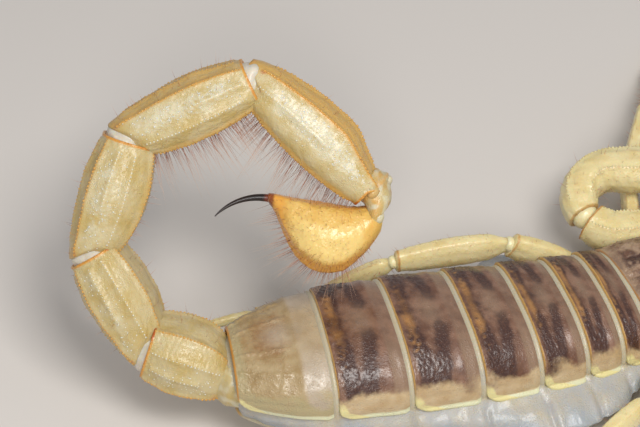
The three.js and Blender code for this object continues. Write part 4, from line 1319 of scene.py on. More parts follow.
def build_carapace(options):
    """The carapace: a median furrow, the eye tubercle, side furrows, a notched brow and granules."""
    share = np.linspace(0, 1, 150)
    rings = prosoma(0.05 + (CARAPACE_LENGTH - 0.05) * share)
    trim = corner(share * CARAPACE_LENGTH, 1.2, 0.8) + corner((1 - share) * CARAPACE_LENGTH, 2.2, 1.5)
    top, normals, across, from_edge = plate_top(rings, np.linspace(-6, 186, 301), trim, np.linspace(0, 1, 181))
    x, y = top[..., 0], top[..., 1]
    far = np.abs(y)

    tubercle = np.exp(-((((x - MEDIAN_EYE["x"]) / 1.5) ** 2 + (y / 1.25) ** 2) ** 1.3))
    furrow = bell(y, 0, 0.28) * step(0.2, 1.2, x) * step(6.6, 5.6, x)
    furrow = furrow + 0.8 * bell(y, 0, 0.22) * step(8.4, 9.2, x)
    deep = np.exp(-((((x - 2.4) / 1.1) ** 2 + (y / 0.9) ** 2)))
    sides = bell(far, 1.3 + 0.34 * (5.6 - x), 0.5) * step(0.8, 1.8, x) * step(5.8, 4.6, x)
    cross = bell(x, 4.9 + 0.1 * far, 0.4) * step(4.6, 2.0, far) * step(0.8, 1.6, far)
    brow = bell(x, 12.0, 0.55) * step(0.5, 1.4, far)
    rough = ripples(top, 0.62, 201)
    granular = (1 - 0.8 * tubercle) * step(0.15, 0.8, x) * step(0.1, 0.5, from_edge)
    height = (
        0.42 * tubercle - 0.3 * furrow - 0.22 * deep - 0.26 * sides - 0.14 * cross
        - 0.12 * bell(from_edge, 0.42, 0.22) - 0.1 * bell(x, 0.62, 0.2) + 0.14 * brow
        + granular * (0.05 * np.clip(rough, 0, 2) + 0.025 * ripples(top, 0.34, 202))
        + 0.05 * ripples(top, 3.0, 203)
    )
    for hand in (1, -1):
        around = (x - MEDIAN_EYE["x"]) ** 2 + (y - hand * MEDIAN_EYE["y"]) ** 2
        height = height - 0.25 * np.exp(-around / 0.3) + 0.16 * np.exp(-((np.sqrt(around) - 0.72) / 0.2) ** 2)
    height = height + 0.2 - edge_drop(from_edge, 0.3, 0.3) - 0.3 * (1 - rounded(share, 0.02, 0.025))[:, None]
    notch = 0.55 * bell(y, 0, 1.5) * step(11.5, 13.0, x)
    top = top - FORWARD * notch[..., None]

    behind_eyes = step(9.6, 8.3, x + 0.12 * far)
    crescent = bell(x, 10.1 - 0.09 * y**2, 1.05) * step(4.7, 3.2, far)
    surface = Surface()
    add_plate(
        surface, top, normals, height, 0.3,
        pigment=behind_eyes * step(0.98, 0.84, np.abs(across)) + step(11.0, 12.2, x) * 0.6,
        band=0.6 * bell(far, 1.9, 1.2) * step(7.5, 2.0, x) + 0.8 * tubercle + 0.35 * sides + 0.2 * rough,
        ochre=bell(far, 3.3, 0.8) * step(2, 4, x) * 0.4 + 0.3 * brow,
        front=0.7 * step(1.6, 0.6, x),
        crescent=crescent * (0.85 + 0.25 * ripples(top, 1.2, 204)),
        roll=step(0.4, 0.1, from_edge) * 0.5,
        line=bell(x, 0.1, 0.2),
        granule=step(0.3, 1.2, x) * (0.6 + 0.4 * step(8, 2, x)),
        **hairs(0.1 + 0.35 * step(9, 12.5, x), 0.6, 0.012, (0.5, 0.0, 0.1)),
    )
    piece = surface.build("carapace")
    colours = back_colours(options, front="light", roll="side", crescent="brow", line="ochre")
    material = back_material("Carapace", colours, 0.36)
    mount(piece, material, "back_brown", "prosoma")
    granules(piece, "carapace_granules", options.granules, 0.075, 29, material, "back_brown")


def build_eyes(options):
    material = shell_material("Eyes", options)
    for label, hand in SIDES:
        eye = Surface()
        place = np.array([MEDIAN_EYE["x"], hand * MEDIAN_EYE["y"], MEDIAN_EYE["z"]])
        look = unit(np.array([0.15, hand * 0.75, 1.0]))
        ball(eye, place, MEDIAN_EYE["radius"], MEDIAN_EYE["radius"] * 0.9, look)
        mount(eye.build(f"median_eye_{label}"), material, "eye_black", f"eye_median_{label}")
        eyes = Surface()
        for k in range(3):
            x = LATERAL_EYES["x"] + (1 - k) * LATERAL_EYES["spacing"]
            place = np.array([x, hand * (LATERAL_EYES["y"] + 0.06 + (k - 1) * 0.1), LATERAL_EYES["z"] + 0.1])
            look = unit(np.array([0.3, hand * 1.0, 0.6]))
            ball(eyes, place, LATERAL_EYES["radius"] * (1 - 0.12 * k), 0.3, look)
        mount(eyes.build(f"side_eyes_{label}"), material, "eye_black", f"eyes_lateral_{label}")


def tube(points, sections, rows, power=2.3, front=0.0, back=0.0):
    """Rings of a tube along a smooth line through points, their shares of its length, and its axis at each.

    sections are (half width, half depth) along it; its ends are rounded off within front and back.
    """
    points = np.asarray(points, float)
    walked = lengths_round(points[None])[0]
    share = np.linspace(0, 1, rows)
    centre = through(np.column_stack([walked / walked[-1], points]), share)
    half, depth = through(np.column_stack([np.linspace(0, 1, len(sections)), sections]), share).T
    axis = unit(np.gradient(centre, axis=0))
    side = unit(np.cross(UP, axis))
    rings = Rings(centre, side, np.cross(axis, side), half, depth, depth, power)
    return rings.scaled(rounded(share, front, back)[:, None]), share, axis


def build_underside(options):
    """The coxae: one wedge from each limb's hip to the middle, round a small breast plate."""
    surface = Surface()
    # A soft floor behind the coxae closes the head part under the carapace.
    rings = prosoma(np.linspace(0.2, CARAPACE_LENGTH - 0.3, 60), -0.28)
    surface.grid(rings.even(121)[1], tan=0.3)
    roots = [(1.6, 0.9), (4.2, 0.8), (6.8, 0.75), (8.9, 0.7)]
    for _, hand in SIDES:
        for (x, y), leg in zip(roots, LEGS[::-1]):
            hip, size = leg["hip"], leg["size"]
            line = [
                (x, hand * y, 1.9), ((x + hip[0]) / 2, hand * (y + hip[1]) / 2, 1.75),
                (hip[0], hand * hip[1], 2.0), (hip[0] + 0.25, hand * (hip[1] + 1.0), 2.1),
            ]
            sections = [(0.9, 0.45), (1.15, 0.7), (1.25 * size, 1.05), (1.1 * size, 1.0)]
            coxa, _, axis = tube(line, sections, 40, 2.5, 0.14, 0.14)
            points = coxa.ring(44)
            keel = bell(np.linspace(-90, 270, 45)[:-1], -60, 14)[None]
            points = raised(points, 0.08 * keel + 0.02 * ripples(points, 0.8, 231))
            surface.grid(points, pale=0.3, edge=0.4 * keel, **hairs(0.5, 0.8, 0.013, axis[:, None] * 0.6))
        # The pedipalp's coxa is the stoutest and reaches forward under the chelicera.
        line = [(10.0, hand * 1.0, 2.6), (10.4, hand * 2.6, 3.2), (9.6, hand * 4.2, 4.2)]
        palp, _, axis = tube(line, [(1.5, 0.8), (1.8, 1.6), (1.6, 1.6)], 36, 2.4, 0.16, 0.1)
        surface.grid(palp.ring(48), tan=0.2, **hairs(0.6, 0.8, 0.014, axis[:, None] * 0.6))
        # Its lobe points forward beside the mouth.
        line = [(10.6, hand * 0.85, 2.5), (12.0, hand * 0.8, 2.8), (13.3, hand * 0.75, 3.2)]
        lobe, _, axis = tube(line, [(0.7, 0.5), (0.65, 0.5), (0.45, 0.35)], 24, 2.2, 0.0, 0.2)
        surface.grid(lobe.ring(32), pale=0.5, **hairs(0.8, 0.6, 0.012, axis[:, None] * 0.5))
    line = [(3.0, 0, 1.35), (1.6, 0, 1.25), (0.4, 0, 1.35)]
    points = tube(line, [(0.35, 0.3), (0.75, 0.35), (0.95, 0.3)], 24, 2.6, 0.2, 0.1)[0].ring(36)
    surface.grid(points, pale=0.4, tan=bell(points[..., 1], 0, 0.15))
    mount(surface.build("head_underside"), shell_material("Limb yellow", options), "limb_yellow", "prosoma")


def tooth(surface, root, way, length, radius, **values):
    """A small pointed tooth."""
    share = np.linspace(0, 1, 9)
    way = unit(np.asarray(way, float))
    size = radius * np.sqrt(np.clip(1 - share**1.6, 0.002, 1))
    centre = np.asarray(root) + share[:, None] * way * length
    surface.grid(Rings(centre, *side_and_dorsal(way), size, size, size, 2.0).ring(12), **values)


def build_chelicera(label, hand, material):
    """A chelicera: a stout hand, a fixed finger above and a movable one on the outer side, with teeth."""
    surface = Surface()
    root = np.array([CARAPACE_LENGTH - 1.2, hand * 1.65, 4.95])
    line = [root, root + (1.6, 0, 0.1), root + (3.0, 0, 0.05), root + (4.4, 0, -0.15)]
    sections = [(1.15, 1.15), (1.4, 1.35), (1.5, 1.4), (1.25, 1.15)]
    palm, share, axis = tube(line, sections, 60, 2.5, 0.0, 0.16)
    angles, points = palm.even(73)
    run = share[:, None]
    crest = bell(folded(angles), 55, 12)[None] * step(0.4, 0.8, run)
    height = 0.06 * crest + 0.03 * ripples(points, 1.2, 241) + 0.012 * ripples(points, 0.4, 242)
    points = raised(points, height)
    net = np.clip(ripples(points, 0.9, 243) * 1.4, 0, 1) * step(0.95, 0.6, run)
    surface.grid(points, tan=0.35 * step(0.5, 1.0, run), dark=0.45 * net, edge=0.35 * crest,
                 **hairs(0.3 + 0.9 * step(0.5, 0.9, run), 0.7, 0.013, axis[:, None] * 0.7))
    for near, far, lift, start, reach in ((0.45, 0.25, -0.1, 4.2, 5.9), (-0.6, -0.25, -0.35, 3.9, 6.2)):
        # The outer finger moves; both curve in and down to dark points that cross.
        line = root + np.array([
            (start - 0.6, -hand * near, lift + 0.1), (start + 0.5, -hand * (near * 1.25), lift + 0.08),
            (reach - 0.5, -hand * (near * 0.85), lift - 0.15), (reach, -hand * far * 0.6, lift - 0.5),
        ])
        sections = [(0.62, 0.62), (0.6, 0.62), (0.42, 0.46), (0.12, 0.14)]
        finger, share, axis = tube(line, sections, 34, 2.2, 0.0, 0.1)
        run = share[:, None]
        surface.grid(finger.ring(28), tan=0.5, edge=step(0.35, 0.65, run), dark=step(0.55, 0.85, run),
                     **hairs(0.9 * step(0.55, 0.2, run), 0.6, 0.012, axis[:, None] * 0.5))
        inward = hand * (1 if near > 0 else -1)
        for k, size in ((12, 0.36), (18, 0.46), (24, 0.34)):
            way = (0.35, inward, -0.1)
            tooth(surface, finger.centre[k], way, 0.6 + size * 0.5, size * 0.5, edge=1.0, dark=0.8)
    mount(surface.build(f"chelicera_shell_{label}"), material, "chelicera_amber", f"chelicera_{label}")


def build_chelicerae(options):
    for label, hand in SIDES:
        build_chelicera(label, hand, shell_material("Chelicerae", options))


# ---------- Legs ----------


def leg_joints(leg, side):
    """The seven joints of a leg, from the hip to the tip of the foot."""
    rises = list(LEG_RISES["hind" if leg["name"] == "leg_4" else "front"])
    headings = leg["left" if side > 0 else "right"]
    lengths = leg["lengths"]
    fixed = sum(lengths[k] * math.sin(math.radians(rise)) for k, rise in zip((0, 1, 2, 4, 5), rises))
    foot = FOOT_PAD * leg["size"]
    rises.insert(3, math.degrees(math.asin((foot - LEG_HEIGHT_AT_HIP - fixed) / lengths[3])))
    joints = [np.array([leg["hip"][0], side * leg["hip"][1], LEG_HEIGHT_AT_HIP])]
    for length, heading, rise in zip(lengths, headings, rises):
        joints.append(joints[-1] + direction(side * heading, rise) * length)
    return joints


def leg_length(surface, start, end, part, size, seed):
    """One length of a leg: it swells from a narrow neck, bows a little and ends in a darker rim."""
    sections, keels, bow, hairy, long_hair, _ = part
    axis = unit(end - start)
    reach = np.linalg.norm(end - start)
    start, end = start - axis * 0.12 * size, end - axis * 0.02 * size
    side, dorsal = side_and_dorsal(axis)
    share = np.linspace(0, 1, 44 + int(reach * 3))
    half, depth = through(np.column_stack([[0, 0.45, 1], np.array(sections) * size]), share).T
    neck = 0.66 + 0.34 * step(0.0, 0.2, share)
    centre = start + share[:, None] * (end - start) + (bow * np.sin(math.pi * share))[:, None] * dorsal
    rings = Rings(centre, side, dorsal, half * neck, depth * neck, depth * neck, 2.4)
    rings = rings.scaled(rounded(share, 0.035, 0.03)[:, None])
    angles, points = rings.even(57)
    run = share[:, None]
    keel = keels_over(points, angles, sum(map(both_sides, keels), []), 0.15)
    keel = keel * step(0.08, 0.2, run) * step(0.97, 0.85, run)
    rim = bell(run, 0.965, 0.014)
    height = 0.1 * keel + 0.05 * rim * step(1.0, 0.97, run) + 0.015 * ripples(points, 0.7, seed)
    height = height - 0.04 * bell(run, 0.9, 0.03)
    around = folded(angles)
    surface.grid(
        raised(points, height * size),
        pale=0.5 * step(40, 0, np.abs(around))[None],
        tan=0.4 * step(60, 80, around)[None] * step(0.2, 0.5, run) + 0.6 * step(0.12, 0.02, run),
        edge=0.42 * keel + 0.75 * rim + 0.6 * step(0.05, 0.0, run),
        dark=0.25 * rim,
        **hairs(hairy * step(0.05, 0.15, run) * step(1.0, 0.93, run), long_hair, 0.016, axis * 0.4),
    )
    return axis, side, dorsal


def soft_knee(surface, place, axis, radius):
    """The pale skin inside a joint."""
    ball(surface, place, radius * 0.86, radius * 0.75, unit(axis), pale=0.6, tan=0.3)


def claw(surface, root, ahead, drop, length, radius):
    """A curved dark claw."""
    share = np.linspace(0, 1, 16)
    curve = np.radians(drop) * share
    flat = unit(np.cross(UP, ahead))
    down = np.cross(flat, ahead)
    moves = (np.cos(curve)[:, None] * ahead + np.sin(curve)[:, None] * down) * (length / 15)
    centre = np.asarray(root) + np.concatenate([[np.zeros(3)], np.cumsum(moves[:-1], 0)])
    size = radius * (1 - share) ** 0.7 + 0.012
    rings = Rings(centre, flat, np.cross(unit(moves), flat), size, size * 1.2, size * 1.2, 2.0)
    run = share[:, None]
    surface.grid(rings.ring(16), edge=step(0.1, 0.5, run), dark=step(0.3, 0.7, run))


def build_leg(leg, label, hand, material):
    """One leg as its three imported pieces: trochanter and femur, patella, then tibia to claws."""
    joints = leg_joints(leg, hand)
    size = leg["size"]
    name = f"{leg['name']}_{label}"
    seed = 300 + 10 * int(leg["name"][-1]) + (hand > 0)
    for piece, node, parts in LEG_PIECES:
        surface = Surface()
        for k in parts:
            start, end = joints[k], joints[k + 1]
            if k:
                soft_knee(surface, start, end - start, LEG_PARTS[k][-1] * size)
            axis, side, dorsal = leg_length(surface, start, end, LEG_PARTS[k], size, seed + k)
            if k == 4:
                for way in (1, -1):
                    # A dark spur on each side of the joint before the last length.
                    spur = end - axis * 0.35 * size - dorsal * 0.35 * size + side * way * 0.3 * size
                    lie = axis * 0.8 - dorsal * 0.5 + side * way * 0.5
                    tooth(surface, spur, lie, 0.85 * size, 0.13 * size, edge=1.0, dark=0.5)
        if piece == "foot":
            tip = end - axis * 0.2
            heading = hand * leg["left" if hand > 0 else "right"][5]
            for way in (-1, 1):
                root = tip + side * way * 0.12 * size + UP * 0.1
                claw(surface, root, direction(heading + way * 20, 16), 62, 1.45 * size, 0.16 * size)
            claw(surface, tip - UP * 0.12, direction(heading, -4), 30, 0.5 * size, 0.12 * size)
        mount(surface.build(f"{name}_{piece}"), material, "limb_yellow", f"{name}_{node}")


def build_legs(options):
    for leg in LEGS:
        for label, hand in SIDES:
            build_leg(leg, label, hand, shell_material("Limb yellow", options))


# ---------- Pedipalps ----------


def shell_tube(surface, beads, rings, share, axis, keels, seed, columns, edge_rim, hairy=0.7, long_hair=1.4):
    """A limb's shell with granular keels at these angles, whose rows of beads are added to beads."""
    angles, points = rings.even(columns + 1)
    run = share[:, None]
    keel = keels_over(points, angles, keels, 0.24) * step(0.06, 0.18, run) * step(0.96, 0.86, run)
    rim = bell(run, edge_rim, 0.014) * (edge_rim < 1)
    rough = 0.03 * ripples(points, 1.1, seed) + 0.012 * ripples(points, 0.4, seed + 1)
    height = 0.14 * keel + 0.06 * rim + rough
    normals = outward(points)
    lifted = points + normals * height[..., None]
    side = folded(angles)[None]
    surface.grid(
        lifted,
        pale=0.45 * step(35, 5, np.abs(side - 10)),
        tan=0.35 * step(55, 75, side) + 0.6 * step(-45, -70, side),
        edge=0.45 * keel + 0.8 * rim + 0.7 * step(0.04, 0.0, run),
        dark=0.2 * rim,
        granule=step(0.05, 0.2, run) * step(0.98, 0.85, run) * (0.3 + 0.7 * step(10, 50, side)),
        **hairs(hairy * step(0.03, 0.12, run) * step(1.0, 0.93, run), long_hair, 0.018, axis[:, None] * 0.35),
    )
    kept = (share > 0.1) & (share < 0.93)
    for degrees in keels:
        line = along_line(lifted - normals * 0.03, angles, degrees)[kept]
        beads.append((line, np.full(len(line), 0.11)))


def palp_piece(surface, name, beads, options, material, node):
    """Builds a length of a pedipalp with the beads of its keels and its granules."""
    piece = surface.build(name)
    mount(piece, material, "limb_yellow", node)
    bead_rows(name + "_keels", beads, 0.36, material, "limb_yellow")
    granules(piece, name + "_granules", options.granules, 0.055, 17, material, "limb_yellow")


def elbow_line(hand, count=25):
    """The elbow's middle line: half a circle outward from the femur's end, climbing a little."""
    to_pivot = np.cross(direction(hand * PALP_ELBOW["heading"]), UP) * hand * PALP_ELBOW["radius"]
    start = np.array(PALP_FEMUR[2]) * (1, hand, 1)
    share = np.linspace(0, 1, count)
    around = [turned(to_pivot, UP, -hand * PALP_ELBOW["angle"] * s) for s in share]
    line = start + to_pivot - np.array(around)
    line[:, 2] += PALP_ELBOW["climb"] * share
    return line


def build_pedipalp(label, hand, options, material):
    """One pedipalp: three lengths of its arm, with the elbow shared between the last two, then the claw."""
    root, shoulder, middle = [np.array(place) * (1, hand, 1) for place in (PALP_ROOT, *PALP_FEMUR[:2])]
    name = f"pedipalp_{label}"
    bend = elbow_line(hand)
    split = int(round(PALP_ELBOW["femur_share"] * (len(bend) - 1)))
    ahead = direction(hand * (PALP_ELBOW["heading"] - PALP_ELBOW["angle"]))
    last = bend[-1]
    keels = (52, 128, -52, -128)
    upper = [shoulder, middle, *bend[:split + 1:3]]
    lower = [bend[split] * 0.55 + bend[split + 1] * 0.45, *bend[split + 2:-1:3], last]
    lower += [last + ahead * reach for reach in (1.6, 4.1, PALP_PATELLA)]
    # Piece, node, line, (half width, half depth) along it, rows, rounded ends, keels, seed, columns and rim.
    lengths = (
        ("hip", "trochanter", [root, shoulder], [(1.6, 1.7), (1.85, 1.85), (1.55, 1.65)],
         44, (0.2, 0.22), (60, 120), 401, 88, 0.95),
        ("upper", "femur", upper, [(1.45, 1.6), (1.75, 1.85), (1.9, 1.95), (1.9, 2.0)],
         110, (0.06, 0.03), keels, 411, 88, 0.965),
        ("lower", "patella", lower,
         [(1.7, 1.8), (1.92, 1.98), (1.95, 2.0), (2.0, 2.0), (2.25, 2.1), (2.15, 2.1), (1.45, 1.5)],
         150, (0.02, 0.03), keels, 421, 96, 0.97),
    )
    for piece, node, line, sections, rows, ends, angles, seed, columns, rim in lengths:
        part, beads = Surface(), []
        rings, share, axis = tube(line, sections, rows, 2.3, *ends)
        shell_tube(part, beads, rings, share, axis, angles, seed, columns, rim)
        if piece == "lower":
            soft_knee(part, bend[split] * 0.5 + bend[split + 1] * 0.5, bend[split + 1] - bend[split], 1.6)
        palp_piece(part, f"{name}_{piece}", beads, options, material, f"{name}_{node}")
    build_hand(name, hand, last + ahead * (PALP_PATELLA + 0.3), options, material)


def build_hand(name, hand, wrist, options, material):
    """The claw: a swollen palm with keels that runs out into the fixed finger, and the movable finger."""
    axis = direction(hand * HAND["heading"], HAND["rise"])
    side, dorsal = side_and_dorsal(axis)
    outer = side * hand
    half, depth = HAND["width"] / 2, HAND["depth"] / 2
    palm, beads = Surface(), []
    soft_knee(palm, wrist - axis * 0.1, axis, 1.2)
    stations = [
        [0.0, 1.0, 1.05], [0.9, 1.35, 1.4], [2.8, 0.74 * half, 0.78 * depth], [5.5, half, depth],
        [8.5, 0.97 * half, 0.96 * depth], [10.6, 0.84 * half, 0.78 * depth], [PALM, 0.5 * half, 0.5 * depth],
    ]
    distance = np.linspace(0, PALM, 120)
    wide, deep = through(stations, distance).T
    centre = wrist + distance[:, None] * axis
    rings = Rings(centre, side, dorsal, wide, deep, deep, 2.35)
    rings = rings.scaled(rounded(distance / PALM, 0.02, 0.06)[:, None])
    shell_tube(palm, beads, rings, distance / PALM, np.broadcast_to(axis, centre.shape),
               (25, 65, 115, 155, -40, -90, -140), 431, 128, 2.0, hairy=0.9, long_hair=2.0)
    for way, owner in ((-1, palm), (1, Surface())):
        reach = np.linspace(FINGER_STATIONS[0][0], FINGER_STATIONS[-1][0], 110)
        offset, radius = through(FINGER_STATIONS, reach).T
        share = (reach - reach[0]) / (reach[-1] - reach[0])
        # The fingers bow apart, then their tips curve in and cross a little.
        offset = way * (offset - 0.35 * step(0.85, 1.0, share))
        middle = wrist + reach[:, None] * axis + offset[:, None] * outer
        ends = rounded(share, 0.04, 0.02)
        finger = Rings(middle, side, dorsal, radius * ends, radius * 1.12 * ends, radius * 1.12 * ends, 2.15)
        angles, points = finger.even(57)
        run = share[:, None]
        cutting = 180 if way * hand > 0 else 0
        blade = bell(keel_distance(points, angles, cutting), 0, 0.14) * step(0.2, 0.3, run)
        crest = bell(keel_distance(points, angles, 90), 0, 0.3) * step(0.9, 0.6, run)
        height = blade * (0.1 + 0.05 * np.sin(run * 46)) + 0.08 * crest + 0.015 * ripples(points, 0.6, 441)
        points = raised(points, height)
        owner.grid(
            points,
            tan=0.35 + 0.5 * run,
            edge=step(0.35, 0.8, run) + 0.4 * crest,
            dark=0.9 * step(0.5, 0.98, run) + blade,
            **hairs(0.8 * step(1.0, 0.8, run), 1.2, 0.016, axis * 0.4),
        )
        inner = points[:, int(np.argmin(np.abs(angles - cutting)))]
        for k in range(34, 106, 2):
            big = 0.16 if k % 12 == 0 else 0.09
            tooth(owner, inner[k], -outer * way + axis * 0.15, big * 1.1, big * 0.75, edge=1.0, dark=1.0)
        if way > 0:
            mount(owner.build(name + "_free_finger"), material, "limb_yellow", name + "_movable_finger")
    palp_piece(palm, name + "_hand", beads, options, material, name + "_chela")


def build_pedipalps(options):
    for label, hand in SIDES:
        build_pedipalp(label, hand, options, shell_material("Limb yellow", options))


# ---------- Combs and operculum ----------


@once("Comb teeth")
def comb_tree(name):
    """Comb teeth along a line of points; the named value way is where each one points."""
    inputs = {"Count": 26, "Tooth length": 0.9 * MM, "Tooth width": 0.1 * MM}
    graph, given, finish = repeat_tree(name, inputs)
    curve = graph.out("GeometryNodeMeshToCurve", {"Mesh": given["Geometry"]})
    even = graph.out("GeometryNodeResampleCurve", {"Curve": curve, "Count": given["Count"]}, mode="COUNT")
    blade = graph.out("GeometryNodeMeshUVSphere", {"Segments": 9, "Rings": 8, "Radius": 1.0})
    blade = graph.out("GeometryNodeTransform", {"Geometry": blade, "Translation": (0.0, 0.0, 0.8)})
    way = graph.stored("way", "FLOAT_VECTOR")
    rotation = graph.out("FunctionNodeAlignRotationToVector", {"Vector": way}, axis="Z")
    size = graph.vector(given["Tooth width"], given["Tooth width"], graph.times(given["Tooth length"], 0.55))
    return finish(graph.copies(even, blade, size, Rotation=rotation))


def build_comb(label, hand, options, material):
    """A comb: a jointed spine of small plates, a row of beads under it, and a row of teeth."""
    ahead = direction(hand * (90 + COMB["swing"]))
    to_teeth = np.cross(ahead, UP) * -hand
    root = np.array([*COMB["root"], COMB["height"]]) * (1, hand, 1)

    def at(along, across):
        return root + ahead * along + to_teeth * across

    surface = Surface()
    plates, beads = 4, 9
    for k in range(plates):
        start, stop = COMB["length"] * k / plates + 0.04, COMB["length"] * (k + 1) / plates - 0.04
        near, far = 0.5 - 0.06 * k, 0.5 - 0.06 * (k + 1)
        line = [at(start, 0.45 + 0.03 * k), at((start + stop) / 2, 0.5 + 0.03 * k), at(stop, 0.48 + 0.03 * k)]
        rings, share, axis = tube(line, [(near, 0.26), (near + 0.05, 0.3), (far, 0.26)], 20, 2.3, 0.12, 0.12)
        surface.grid(rings.ring(32), pale=0.4, edge=0.5 * bell(share[:, None], 1.0, 0.12),
                     **hairs(0.9, 0.6, 0.011, axis[:, None] * 0.4))
    for k in range(beads):
        place = COMB["length"] * (k + 0.5) / beads
        line = [at(place - 0.32, 1.02), at(place, 1.06), at(place + 0.32, 1.02)]
        rings = tube(line, [(0.2, 0.2), (0.26, 0.24), (0.2, 0.2)], 12, 2.3, 0.25, 0.25)[0]
        surface.grid(rings.ring(20), tan=0.4)
    mount(surface.build(f"comb_{label}"), material, "comb_cream", f"pecten_{label}")

    line = np.array([at(0.15 + (COMB["length"] - 0.3) * s, 1.22) for s in np.linspace(0, 1, 12)])
    rows = [(line, np.tile(to_teeth + ahead * 0.1, (12, 1)))]
    values = {"Count": options.comb_teeth, "Tooth length": COMB["tooth"] * 1.2 * MM, "Tooth width": 0.125 * MM}
    teeth = along_lines(f"comb_teeth_{label}", rows, "way", comb_tree(), {**values, "Material": material})
    mount(teeth, material, "comb_cream", f"pecten_{label}")


def build_combs(options):
    material = shell_material("Comb cream", options)
    surface = Surface()
    for label, hand in SIDES:
        build_comb(label, hand, options, material)
        line = [(-0.3, hand * 0.7, 1.3), (-1.3, hand * 0.85, 1.12), (-2.3, hand * 0.55, 1.3)]
        rings, _, axis = tube(line, [(0.6, 0.3), (0.85, 0.34), (0.55, 0.28)], 36, 2.4, 0.2, 0.25)
        points = rings.ring(48)
        surface.grid(points, pale=0.3, edge=0.5 * bell(points[..., 1], 0, 0.2),
                     **hairs(0.6, 0.6, 0.012, axis[:, None] * 0.5))
    mount(surface.build("operculum"), material, "comb_cream", "genital_operculum")


# ---------- Hairs ----------

# Each coat and the pieces that it grows on.
COATS = {
    "coat_tail": [f"tail_segment_{k + 1}" for k in range(5)],
    "coat_telson": ["telson_shell"],
    "coat_trunk": ["trunk_skin", *[f"tergite_{k + 1}" for k in range(7)]],
    "coat_belly": [f"sternite_{k + 1}" for k in range(2, 7)],
    "coat_head": ["carapace", "head_underside", "chelicera_shell_left", "chelicera_shell_right"],
    "coat_combs": ["comb_left", "comb_right", "operculum"],
}
for _hand, _ in SIDES:
    _parts = ("hip", "upper", "lower", "hand", "free_finger")
    COATS[f"coat_pedipalp_{_hand}"] = [f"pedipalp_{_hand}_{part}" for part in _parts]
    for _leg in LEGS:
        _name = f"{_leg['name']}_{_hand}"
        COATS["coat_" + _name] = [f"{_name}_{piece}" for piece, _, _ in LEG_PIECES]
LEG_COAT = 1.6  # the legs' share of the density, where the other coats have 1
PATCH = 0.003  # size of each hair's place on the coat's map


def read(data, field, width, kind=np.float32):
    """A mesh's numbers as rows of this width."""
    values = np.empty(len(data) * width, kind)
    data.foreach_get(field, values)
    return values.reshape(-1, width)


def coat_of(piece, cell, cells, options, share, material, seed):
    """The hairs of one piece: points, faces, how far each point is from its root to its tip, tone and map."""
    mesh = grow(piece, hair_tree(), {
        "Density": options.density * share * 1e6, "Length": options.length, "Thickness": options.thickness,
        "Spread": options.spread, "Bend": options.bend, "Seed": seed, "Material": material,
    })
    points = read(mesh.vertices, "co", 3)
    points[:, 2] = np.maximum(points[:, 2], 0)
    faces = [tuple(polygon.vertices) for polygon in mesh.polygons]
    strand = read(mesh.attributes["strand"].data, "vector", 3)
    root = read(mesh.attributes["Skin"].data, "vector", 2)
    bpy.data.meshes.remove(mesh)
    tone = np.mod(np.abs(np.sin(root[:, 0] * 9173 + root[:, 1] * 4391)) * 437.5, 1)
    corner_of_cell = np.array([cell % cells, cell // cells]) / cells
    local = np.stack([strand[:, 0] + 0.6 * strand[:, 1], strand[:, 2]], 1)
    return points, faces, strand[:, 2], tone, corner_of_cell + root * 0.97 / cells + local * PATCH / 2


def hair_material(options):
    material, graph, shader = new_material("Setae")
    tone = graph.named("tone")
    dark = graph.mix(tone, options.root_dark, options.root_red)
    colour = graph.mix(graph.rise(graph.named("tip"), 0.1, 0.95), dark, options.tip)
    dress(graph, shader, colour, graph.between(tone, 0.25, 0.4), graph.noise(0.05, 1.0), 0.001)
    return material


def build_hairs(options):
    """Every coat: the hairs of its pieces, joined into one mesh with its own map."""
    material = hair_material(options)
    for order, (name, owners) in enumerate(COATS.items()):
        cells = math.ceil(math.sqrt(len(owners)))
        share = LEG_COAT if "leg" in name else 1.0
        faces, count, found = [], 0, []
        for cell, owner in enumerate(owners):
            seed = 11 + order * 7 + cell
            piece = bpy.data.objects[owner]
            points, shapes, *values = coat_of(piece, cell, cells, options, share, material, seed)
            faces += [tuple(v + count for v in face) for face in shapes]
            count += len(points)
            found.append([points, *values])
        points, tips, tones, maps = [np.concatenate(rows) for rows in zip(*found)]
        mesh = bpy.data.meshes.new(name)
        mesh.from_pydata(points, [], faces)
        set_values(mesh, "tip", tips)
        set_values(mesh, "tone", tones)
        spread = maps[read(mesh.loops, "vertex_index", 1, np.int32)[:, 0]]
        mesh.uv_layers.new(name="OFBake").data.foreach_set("uv", spread.astype(np.float32).ravel())
        mesh.shade_smooth()
        mount(placed(name, mesh), material, "limb_yellow")


# ---------- Stage ----------


